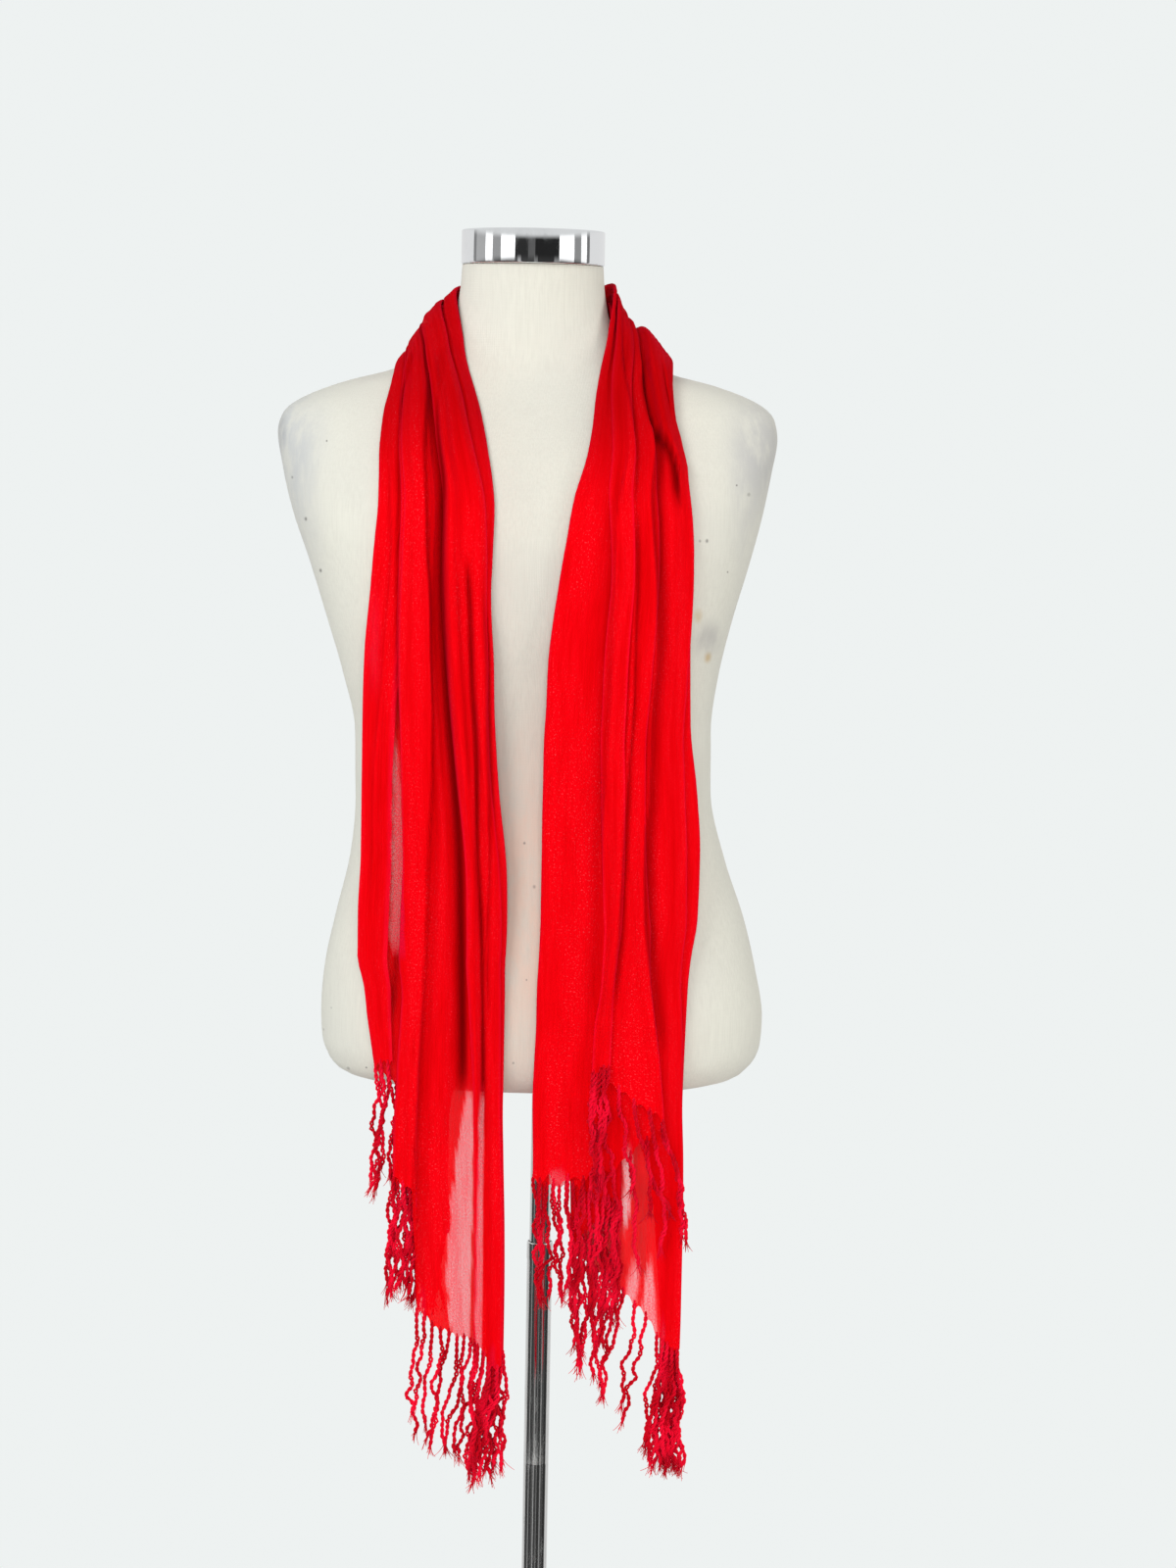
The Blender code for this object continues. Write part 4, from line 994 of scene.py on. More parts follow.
# places given as height and x along a fold line, from its top down
FOLD_LINES = (
    FoldLine(Side.LEFT, ((1335, -137), (1262, -136), (1217, -133), (1148, -137), (1081, -142), (1015, -146),
                         (900, -146)), -1.0, 4.0, 4.5, 5.0, gloom=0.25),
    FoldLine(Side.LEFT, ((1425, -94), (1377, -120), (1344, -127), (1303, -129), (1217, -129), (1098, -128),
                         (1042, -128)), 6.0, 6.0, -1.5, 3.0, fade_top=90, gloom=0.55),
    FoldLine(Side.LEFT, ((1402, -100), (1360, -103), (1263, -105), (1218, -103), (1181, -100), (1119, -98),
                         (1066, -96), (1018, -96), (966, -98), (916, -99), (865, -100), (798, -103), (679, -106),
                         (560, -105)), 2.8, 9.0, -5.0, 11.0, fade_top=90, gloom=0.22),
    FoldLine(Side.LEFT, ((1419, -90), (1385, -91), (1344, -94), (1321, -95), (1263, -90), (1204, -90), (1119, -86),
                         (1049, -80), (1000, -75), (966, -72), (883, -69), (801, -67), (738, -66)),
             -8.0, 4.5, -8.0, 3.6, fade_top=150, gloom=0.92),
    FoldLine(Side.LEFT, ((1390, -86), (1344, -90), (1300, -87), (1204, -85), (1119, -81), (1050, -74), (967, -63),
                         (883, -60), (801, -57), (700, -56)), 0.5, 2.0, 3.4, 6.0),
    FoldLine(Side.LEFT, ((1214, -70), (1165, -66), (1099, -63), (1050, -59), (967, -57), (883, -52), (801, -50),
                         (700, -49)), -6.0, 2.2, -6.0, 2.4, gloom=0.7),
    FoldLine(Side.LEFT, ((1182, -57), (1119, -52), (1050, -50), (1017, -48), (967, -47), (883, -48), (801, -47)),
             2.0, 4.0, -4.0, 3.4, gloom=0.35),
    FoldLine(Side.LEFT, ((1200, -78), (1119, -73), (1060, -68), (1000, -64)), 0.8, 3.0, -1.6, 3.5, gloom=0.3),
    FoldLine(Side.RIGHT, ((1422, 46), (1392, 51), (1362, 55), (1328, 62), (1282, 67), (1240, 70)),
             2.4, 6.0, -2.6, 5.0, fade_top=60, gloom=0.4),
    FoldLine(Side.RIGHT, ((1300, 56), (1266, 59), (1241, 55), (1200, 55), (1151, 54), (1102, 53), (1023, 50),
                          (969, 48), (885, 50), (820, 47)), -2.4, 9.0, 3.6, 7.0, gloom=0.25),
    FoldLine(Side.RIGHT, ((1258, 70), (1184, 72), (1095, 72), (1019, 68), (969, 66), (915, 64), (881, 63),
                          (820, 58)), 2.6, 6.0, -3.6, 4.0, gloom=0.45),
    FoldLine(Side.RIGHT, ((1409, 63), (1372, 70), (1334, 76), (1305, 82), (1250, 84), (1179, 90), (1122, 91),
                          (1080, 88), (1003, 87), (969, 84), (908, 85), (872, 89), (818, 96), (782, 101)),
             3.2, 8.0, -5.2, 9.0, fade_top=50, gloom=0.45),
    FoldLine(Side.RIGHT, ((1385, 70), (1328, 80), (1310, 91), (1295, 98), (1278, 105), (1240, 110)),
             -5.0, 9.0, 4.5, 8.0, gloom=0.95),
    FoldLine(Side.RIGHT, ((1405, 78), (1381, 88), (1356, 94), (1320, 99)), -2.0, 4.0, 1.0, 4.0, gloom=0.9),
    FoldLine(Side.LEFT, ((925, -125), (890, -125), (850, -126), (800, -128)), -1.5, 4.0, -1.5, 4.0, gloom=0.7),
)

SHEER_PATCHES = (
    SheerPatch(Side.LEFT, ((872, -131, -117), (900, -131, -118), (960, -131, -120), (1046, -130, -126.5)), 1.1, 0.8),
    SheerPatch(Side.LEFT, ((440, -73, -58), (537, -73, -58), (596, -78, -57.3), (658, -74.5, -57), (708, -70, -56.7),
                           (750, -63, -58)), 1.0, 0.9, 9.0, 1.0),
    SheerPatch(Side.LEFT, ((440, -53, -46.5), (560, -53, -46.7), (660, -52.6, -47.4), (750, -52.2, -48)), 1.5, 0.7,
               10.0, 0.4),
    SheerPatch(Side.LEFT, ((500, -41, -34), (530, -38, -35)), 0.7, 1.5),
    SheerPatch(Side.LEFT, ((556, -104, -95), (580, -100, -96)), 0.5, 1.5),
    SheerPatch(Side.RIGHT, ((636, 71.5, 75), (650, 72, 78), (690, 73, 80), (708, 72, 77)), 1.2, 1.2, 6.0, 1.2),
    SheerPatch(Side.RIGHT, ((662, 8, 25), (686, 9, 21)), 0.9, 2.0, 4.0),
    SheerPatch(Side.RIGHT, ((556, 77, 83), (571, 76, 84.5), (586, 78, 86.8), (604, 83, 87)), 1.0, 1.5),
    SheerPatch(Side.RIGHT, ((510, 96, 106), (546, 89, 103.6), (571, 91, 101.7), (602, 95, 98.5)), 1.0, 1.5),
    SheerPatch(Side.RIGHT, ((510, 106, 111), (551, 107, 110)), 0.9, 1.2),
    SheerPatch(Side.LEFT, ((1100, -152, -143), (1170, -151, -144)), 0.4, 4.0, 24.0),
)

CREASES = (
    Crease(Side.LEFT, 0.6, 900, 1260, -0.9, 4.0, 0.2),
    Crease(Side.LEFT, 3.4, 640, 1080, -1.2, 4.5, -0.3),
    Crease(Side.LEFT, 3.6, 1120, 1330, 1.0, 5.0, 0.2),
    Crease(Side.LEFT, 13.35, 560, 900, -1.1, 4.0, 0.2),
    Crease(Side.LEFT, 12.5, 1030, 1300, -1.2, 4.0, -0.2),
    Crease(Side.LEFT, 13.5, 1100, 1330, 1.1, 4.0, 0.3),
    Crease(Side.LEFT, 20.6, 1050, 1320, -1.0, 3.5, 0.2),
    Crease(Side.LEFT, 20.7, 800, 1010, 1.1, 3.5, -0.2),
    Crease(Side.LEFT, 21.4, 760, 880, -1.4, 4.0, 0.3),
    Crease(Side.RIGHT, 0.7, 800, 1150, 0.7, 3.0, 0.2),
    Crease(Side.RIGHT, 2.4, 950, 1270, -0.8, 3.0, 0.2),
    Crease(Side.RIGHT, 6.5, 700, 1000, 1.0, 7.0, 0.2),
    Crease(Side.RIGHT, 7.4, 760, 1120, -0.9, 8.0, -0.2),
    Crease(Side.RIGHT, 5.4, 830, 1180, 1.1, 4.5, 0.2),
    Crease(Side.RIGHT, 5.7, 1000, 1290, -1.0, 4.0, -0.2),
    Crease(Side.RIGHT, 16.5, 620, 980, 1.0, 6.0, 0.2),
    Crease(Side.RIGHT, 17.4, 560, 830, -1.1, 6.0, 0.2),
    Crease(Side.RIGHT, 17.6, 1040, 1300, 1.2, 6.0, -0.2),
)


class Drape:
    """The scarf's surface: a zigzag section carried from one end over the nape to the other."""

    def __init__(self, sizes: ScarfSizes, form: BVHTree) -> None:
        """Work the surface out.

        Args:
            sizes: the scarf's driving sizes.
            form: the surface that it lies on.
        """
        self.sizes = sizes
        self.names, inner, outer = zip(*self.stations())
        self.inner, self.outer = np.array(inner, float), np.array(outer, float)
        middle = (self.inner + self.outer) / 2
        steps = np.linalg.norm(np.diff(middle, axis=0), axis=1)
        self.v = np.concatenate([[0], np.cumsum(steps)])
        self.turns = [row.turn for row in FOLDS_LEFT]
        self.places = np.arange(0, self.v[-1], sizes.lattice)
        self.edge, self.across, self.normal, self.width = self.frame(middle)
        self.share, self.lift = self.fold_values()
        # a turn has three control points, a crest one
        self.control_row = [i for i, turn in enumerate(self.turns) for _ in range(1 if turn is Turn.CREST else 3)]
        self.column_at, self.column_row = self.columns()
        self.section = self.sections()
        self.press_shoulders()
        self.shape_folds()
        self.shape_creases()
        self.bed = self.lay_bed(form)
        self.surface = self.positions()
        self.cloth_u = self.material_u()

    def stations(self) -> list[tuple]:
        """Name, inner edge and outer edge of every station from the left hem to the right."""
        hang = self.sizes.hang_y
        left = [("left_%d" % z, (in_x, hang, z), (out_x, hang, z)) for z, out_x, in_x, _, _ in PANEL_RAILS]
        right = [("right_%d" % z, (in_x, hang, z), (out_x, hang, z)) for z, _, _, in_x, out_x in PANEL_RAILS]
        return [*left, *OVER_SHOULDERS, *reversed(right)]

    def at(self, name: str) -> float:
        """Where along the cloth a named station is."""
        return float(self.v[self.names.index(name)])

    def place_at(self, side: Side, height: Values, upper: tuple[float, ...]) -> Values:
        """Where along the cloth a height is met.

        Args:
            side: the hanging end.
            height: the heights to find.
            upper: heights of the stations above the hanging panel, as far as they are needed.

        Returns:
            A place for each height.
        """
        names = ["%s_" + str(row[0]) for row in PANEL_RAILS] + list(UPPER_STATIONS[:len(upper)])
        return np.interp(height, [row[0] for row in PANEL_RAILS] + list(upper),
                         [self.at(name % side.value) for name in names])

    def panel_v(self, side: Side, height: Values) -> Values:
        """Where along the cloth a panel is at a height."""
        return self.place_at(side, height, COLLAR_HEIGHTS)

    def line_v(self, side: Side, height: Values) -> Values:
        """Where along the cloth its outer surface is at a height, up to the shoulder ridge."""
        return self.place_at(side, height, SURFACE_HEIGHTS)

    def frame(self, middle: Values) -> tuple[Values, ...]:
        """Outer edge, unit direction across, unit normal and width at every place."""
        span = self.inner - self.outer
        width = np.linalg.norm(span, axis=1)
        across = span / width[:, None]
        normal = unit(np.cross(across, np.gradient(middle, self.v, axis=0)))
        across_at = unit(smooth_lookup(self.v, across, self.places))
        normal_at = smooth_lookup(self.v, normal, self.places)
        normal_at = normal_at - across_at * np.sum(normal_at * across_at, axis=1, keepdims=True)
        return (smooth_lookup(self.v, self.outer, self.places), across_at, unit(normal_at),
                smooth_lookup(self.v, width, self.places))

    def fold_values(self) -> tuple[Values, Values]:
        """Share and lift of every fold row at every place along the cloth."""
        keys = []
        for side, levels, folds in ((Side.LEFT, LEVELS_LEFT, FOLDS_LEFT), (Side.RIGHT, LEVELS_RIGHT, FOLDS_RIGHT)):
            for i, level in enumerate(levels):
                v = self.at(level) if isinstance(level, str) else float(self.panel_v(side, level))
                keys.append((v, [row.shares[i] for row in folds], [row.lift_at(i) for row in folds]))
        lifts = [min(a.lift_at(-1), b.lift_at(-1)) for a, b in zip(FOLDS_LEFT, FOLDS_RIGHT)]
        keys.append((self.at("nape_back"), list(SHARES_NAPE), lifts))
        keys.sort(key=lambda key: key[0])
        places = [key[0] for key in keys]
        return (smooth_lookup(places, [key[1] for key in keys], self.places),
                smooth_lookup(places, [key[2] for key in keys], self.places))

    def controls(self) -> Values:
        """Control points (across, lift) of the section at every place."""
        radius = self.sizes.turn
        points = []
        for i, turn in enumerate(self.turns):
            a, h = self.share[:, i] * self.width, self.lift[:, i]
            if turn is Turn.CREST:
                points.append(np.stack([a, h], axis=1))
                continue
            up = radius if FOLDS_LEFT[i].name != "outer_edge" else -radius
            back = a - turn.value * radius
            points += [np.stack([back, h + up], axis=1), np.stack([a, h], axis=1),
                       np.stack([back, h - up], axis=1)]
        return np.stack(points, axis=1)

    def columns(self) -> tuple[Values, Values]:
        """Places of the mesh columns among the control points, and among the fold rows."""
        points = self.controls()
        reach = np.max(np.linalg.norm(np.diff(points, axis=1), axis=2), axis=0)
        places = [0.0]
        for k, length in enumerate(reach):
            same = self.control_row[k] == self.control_row[k + 1]
            parts = 2 if same else max(2, math.ceil(length / self.sizes.column))
            places += [k + (q + 1) / parts for q in range(parts)]
        rows = np.interp(places, range(len(self.control_row)), self.control_row)
        return np.array(places), rows

    def sections(self) -> Values:
        """Smooth section (across, lift) at every place, through its control points."""
        points = self.controls()
        first = 2 * points[:, :1] - points[:, 1:2]
        last = 2 * points[:, -1:] - points[:, -2:-1]
        points = np.concatenate([first, points, last], axis=1)
        gaps = np.sqrt(np.linalg.norm(np.diff(points, axis=1), axis=2)) + 1e-6
        result = []
        for place in self.column_at:
            k = min(int(place), len(self.control_row) - 2)
            result.append(self.spline(points[:, k:k + 4], gaps[:, k:k + 3], place - k))
        return np.stack(result, axis=1)

    @staticmethod
    def spline(points: Values, gaps: Values, share: float) -> Values:
        """Centripetal curve between the middle two of four points.

        Args:
            points: four points at every place.
            gaps: knot spacing between them.
            share: how far from the second point to the third.

        Returns:
            One point at every place.
        """
        knots = np.concatenate([np.zeros((len(gaps), 1)), np.cumsum(gaps, axis=1)], axis=1)
        t = knots[:, 1] + (knots[:, 2] - knots[:, 1]) * share

        def between(a: Values, b: Values, i: int, j: int) -> Values:
            """A straight blend of two points between two knots."""
            s = ((t - knots[:, i]) / (knots[:, j] - knots[:, i]))[:, None]
            return a + (b - a) * s

        a1 = between(points[:, 0], points[:, 1], 0, 1)
        a2 = between(points[:, 1], points[:, 2], 1, 2)
        a3 = between(points[:, 2], points[:, 3], 2, 3)
        return between(between(a1, a2, 0, 2), between(a2, a3, 1, 3), 1, 2)

    def arcs(self) -> Values:
        """Distance across the cloth from its first edge, at every place and column."""
        lengths = np.linalg.norm(np.diff(self.section, axis=1), axis=2)
        return np.concatenate([np.zeros((len(self.places), 1)), np.cumsum(lengths, axis=1)], axis=1)

    def press_shoulders(self) -> None:
        """Even out the stack of layers where the cloth goes over the shoulders and the nape."""
        sizes = self.sizes
        grid = np.linspace(0, 1, sizes.press_columns)
        weight = np.full(len(self.places), sizes.press)
        for side in Side:
            weight *= smooth_step(*self.line_v(side, sizes.press_heights), self.places)
        blur = np.exp(-((grid[:, None] - grid[None, :]) / sizes.press_reach) ** 2)
        blur /= blur.sum(axis=1, keepdims=True)
        share = self.section[..., 0] / self.width[:, None]
        for k in np.nonzero(weight > 0)[0]:
            near = np.abs(share[k][None, :] - grid[:, None]) < sizes.near
            top = np.max(np.where(near, self.section[k, :, 1][None, :], sizes.thin_stack), axis=1)
            ratio = 1 + weight[k] * (np.clip(blur @ top / top, *sizes.press_range) - 1)
            self.section[k, :, 1] *= np.interp(share[k], grid, ratio)

    def shape_folds(self) -> None:
        """Raise and press the main folds and work out the shade painted into their hollows and over the shoulders;
        the innermost layers hardly move, so none cross.
        """
        sizes = self.sizes
        push, painted_shade_share = np.zeros(self.section.shape[:2]), np.zeros(self.section.shape[:2])
        for fold in FOLD_LINES:
            heights, xs = np.array(fold.line, float).T
            vs = self.line_v(fold.side, heights)
            order = np.argsort(vs)
            vs, xs = vs[order], xs[order]
            inside = (self.places > vs[0]) & (self.places < vs[-1])
            v = self.places[inside]
            first, last = (fold.fade, fold.fade_top) if fold.side is Side.LEFT else (fold.fade_top, fold.fade)
            window = smooth_step(vs[0], vs[0] + first, v) * smooth_step(vs[-1], vs[-1] - last, v)
            way = self.across[inside, 0]
            line = (smooth_lookup(vs, xs[:, None], v)[:, 0] - self.edge[inside, 0]) / way
            away = (self.section[inside, :, 0] - line[:, None]) * np.sign(way)[:, None]
            push[inside] += fold.rise(away) * window[:, None]
            # painted shade on the hollow side of each fold
            painted_shade_share[inside] = np.maximum(painted_shade_share[inside], fold.hollow(away) * window[:, None])
        # painted shade on the layers turned away over the shoulders
        for side, way in ((Side.LEFT, 1), (Side.RIGHT, -1)):
            low, high, ridge = self.line_v(side, (*sizes.shade_heights, SURFACE_HEIGHTS[-1]))
            end, full = (ridge + way * past for past in sizes.shade_back)
            away = smooth_step(low, high, self.places) * smooth_step(end, full, self.places)
            painted_shade_share = np.maximum(painted_shade_share, sizes.shade * away[:, None])
        lift = self.section[..., 1]
        self.hollow = painted_shade_share
        self.section[..., 1] = lift + push * smooth_step(*FOLD_REACH, lift)

    def shape_creases(self) -> None:
        """Press the listed creases and the fine ripples of the warp into the section."""
        arc = self.arcs()
        push = np.zeros_like(arc)
        for crease in CREASES:
            low, high = sorted(self.panel_v(crease.side, (crease.low, crease.high)))
            inside = (self.places > low) & (self.places < high)
            v, lines = self.places[inside], arc[inside]
            fade = (high - low) * self.sizes.crease_fade
            window = smooth_step(low, low + fade, v) * smooth_step(high, high - fade, v)
            rows = crease.row + crease.lean * ((v - low) / (high - low) - 0.5)
            centre = np.array([np.interp(row, self.column_row, line) for row, line in zip(rows, lines)])
            bump = np.exp(-((lines - centre[:, None]) / crease.width) ** 2)
            push[inside] += crease.depth * window[:, None] * bump
        v = self.places[:, None]
        for size, wave, drift, phase in RIPPLES:
            swell = 0.6 + 0.4 * np.sin(TURN * v / SWELL_ALONG + phase * 3 + arc / SWELL_ACROSS)
            push += size * swell * np.sin(TURN * (arc / wave + v / drift) + phase)
        slope = unit(np.gradient(self.section, axis=1))
        side = np.stack([-slope[..., 1], slope[..., 0]], axis=2)
        self.section = self.section + side * push[..., None]

    def lowest_lift(self, shares: Values) -> Values:
        """Lift of the innermost layer at each share of the width, at every place."""
        reach, far = self.sizes.near, self.sizes.far_lift
        share = self.section[..., 0] / self.width[:, None]
        first, second = share[:, :-1], share[:, 1:]
        start, end = np.minimum(first, second) - reach, np.maximum(first, second) + reach
        lift = np.minimum(self.section[:, :-1, 1], self.section[:, 1:, 1])
        return np.stack([np.min(np.where((start <= f) & (f <= end), lift, far), axis=1) for f in shares], axis=1)

    def lay_bed(self, form: BVHTree) -> Values:
        """How far the form lifts the cloth at each share of the width, at every place.

        The cloth lies on the form over the shoulders and hangs straight below the chest.
        """
        sizes = self.sizes
        shares = sizes.bed_shares
        coarse = np.arange(0, len(self.places), sizes.bed_step)
        body = np.full((len(coarse), len(shares)), sizes.bed_none)
        for row, k in enumerate(coarse):
            normal = Vector(self.normal[k])
            for j, f in enumerate(shares):
                start = Vector(self.edge[k] + self.across[k] * self.width[k] * f)
                hit = form.ray_cast((start + normal * sizes.bed_ray) * MM, -normal)
                if hit[0] is not None:
                    body[row, j] = sizes.bed_ray - hit[3] / MM
        v = self.places[coarse]
        left, right = v < self.at("left_1255"), v > self.at("right_1255")
        body[left] = np.maximum.accumulate(body[left][::-1])[::-1]
        body[right] = np.maximum.accumulate(body[right])
        need = np.maximum(body + sizes.clear - self.lowest_lift(shares)[coarse], sizes.bed_least)
        slope = np.abs(v[:, None] - v[None, :]) * sizes.bed_slope
        eased = np.max(need[None, :, :] - slope[:, :, None], axis=1)
        curves = np.vander(shares, sizes.bed_order + 1)
        smooth = (curves @ np.linalg.lstsq(curves, eased.T, rcond=None)[0]).T
        smooth = smooth + np.maximum(np.max(eased - smooth, axis=1), 0)[:, None]
        return smooth_lookup(v, smooth, self.places)

    def positions(self) -> Values:
        """Every point of the surface, in millimetres, by place and column."""
        share = self.section[..., 0] / self.width[:, None]
        bed = np.stack([np.interp(s, self.sizes.bed_shares, row) for s, row in zip(share, self.bed)])
        lift = self.section[..., 1] + bed
        return (self.edge[:, None] + self.across[:, None] * self.section[..., :1]
                + self.normal[:, None] * lift[..., None])

    def material_u(self) -> Values:
        """Distance of each column from the first edge of the flat cloth, in millimetres."""
        arc = self.arcs()
        return np.mean(arc / arc[:, -1:], axis=0) * self.sizes.cut_width

    def hem_v(self, side: Side, columns: Values) -> Values:
        """Where along the cloth the hem lies, at whole or part columns."""
        rows = np.interp(columns, range(len(self.column_row)), self.column_row)
        u = np.interp(columns, range(len(self.cloth_u)), self.cloth_u)
        height = np.interp(rows, *zip(*HEM[side]))
        for size, wave, phase in HEM_WAVES:
            height = height + size * np.sin(TURN * u / wave + phase)
        return self.panel_v(side, height)

    def point(self, v: Values, column: float) -> Values:
        """Points of the surface at places along the cloth, on one whole or part column."""
        j = min(int(column), self.surface.shape[1] - 2)
        t = column - j
        line = self.surface[:, j] * (1 - t) + self.surface[:, j + 1] * t
        return np.stack([np.interp(v, self.places, line[:, axis]) for axis in range(3)], axis=-1)


@dataclass
class Scarf:
    """The cloth as one thin sheet."""

    sizes: ScarfSizes
    drape: Drape
    tassel_pitch: float = TASSEL_PITCH
    tassel_first: float = TASSEL_FIRST
    hem_peak: float = 5.2
    edge_width: float = 3.2

    def hem_scallop(self, u: Values) -> Values:
        """How far the tassels draw the hem down at a distance across the flat cloth."""
        phase = (u - self.tassel_first) / self.tassel_pitch
        return self.hem_peak * (np.abs(np.cos(math.pi * phase)) ** 2.5 - 0.3)

    def rows(self, column: int) -> Values:
        """Places of a column's points from the left hem to the right hem."""
        drape, sizes = self.drape, self.sizes
        down = float(self.hem_scallop(drape.cloth_u[column]))
        start, end = (float(drape.hem_v(side, column)) for side in Side)
        first, second = (float(drape.panel_v(side, sizes.free_height)) for side in Side)
        low = np.linspace(start - down, first, sizes.rows_low, endpoint=False)
        middle = np.linspace(first, second, sizes.rows_high, endpoint=False)
        return np.concatenate([low, middle, np.linspace(second, end + down, sizes.rows_low)])

    def build(self, material: bpy.types.Material) -> bpy.types.Object:
        """Make the sheet.

        Args:
            material: its finish.

        Returns:
            The sheet, which stands for the three cloth solids.
        """
        drape = self.drape
        count = len(drape.cloth_u)
        along = [self.rows(j) for j in range(count)]
        painted_shade_share = [np.interp(v, drape.places, drape.hollow[:, j]) for j, v in enumerate(along)]
        rows = len(along[0])
        verts = np.concatenate([drape.point(v, j) for j, v in enumerate(along)]) * MM
        faces = [(j * rows + i, (j + 1) * rows + i, (j + 1) * rows + i + 1, j * rows + i + 1)
                 for j in range(count - 1) for i in range(rows - 1)]
        sheet = mesh_object("pashmina_cloth", verts, faces, material)
        flat = np.stack([np.repeat(drape.cloth_u, rows), np.concatenate(along)], axis=1) * MM
        corners = np.zeros(len(sheet.data.loops), int)
        sheet.data.loops.foreach_get("vertex_index", corners)
        layer = sheet.data.uv_layers.new(name="cloth_uv")
        layer.data.foreach_set("uv", flat[corners].astype(np.float32).ravel())
        store(sheet.data, "sheer", self.open_weave(verts / MM))
        # painted highlight along the fold edges and cut sides
        store(sheet.data, "fold_edge", np.repeat(self.edges(), rows))
        # painted shade of the fold hollows and the shoulders, read by the cloth's colour
        store(sheet.data, "hollow", np.concatenate(painted_shade_share))
        place_piece(sheet, "scarf_left_cloth", "scarf_left", "scarf_neck", "scarf_right")
        return sheet

    def edges(self) -> Values:
        """How near each column is to the edge of a fold or to a cut side of the cloth, where a highlight is painted.
        """
        drape = self.drape
        turning = [i for i, turn in enumerate(drape.turns) if turn is not Turn.CREST]
        middle = [k for k in range(1, len(drape.control_row) - 1) if drape.control_row[k] in turning
                  and drape.control_row[k - 1] == drape.control_row[k] == drape.control_row[k + 1]]
        at = np.interp(middle + [0, len(drape.control_row) - 1], drape.column_at, drape.cloth_u)
        away = np.min(np.abs(drape.cloth_u[:, None] - at[None, :]), axis=1)
        return smooth_step(self.edge_width, 0.4 * self.edge_width, away)

    @staticmethod
    def open_weave(points: Values) -> Values:
        """How far the weave is stretched open at points in millimetres."""
        x, z = points[:, 0], points[:, 2]
        middle = (PANEL_RAILS[0][2] + PANEL_RAILS[0][3]) / 2
        opened = np.zeros(len(points))
        for patch in SHEER_PATCHES:
            on_side = (x < middle) if patch.side is Side.LEFT else (x > middle)
            opened = np.maximum(opened, patch.share(x, z) * on_side)
        return opened


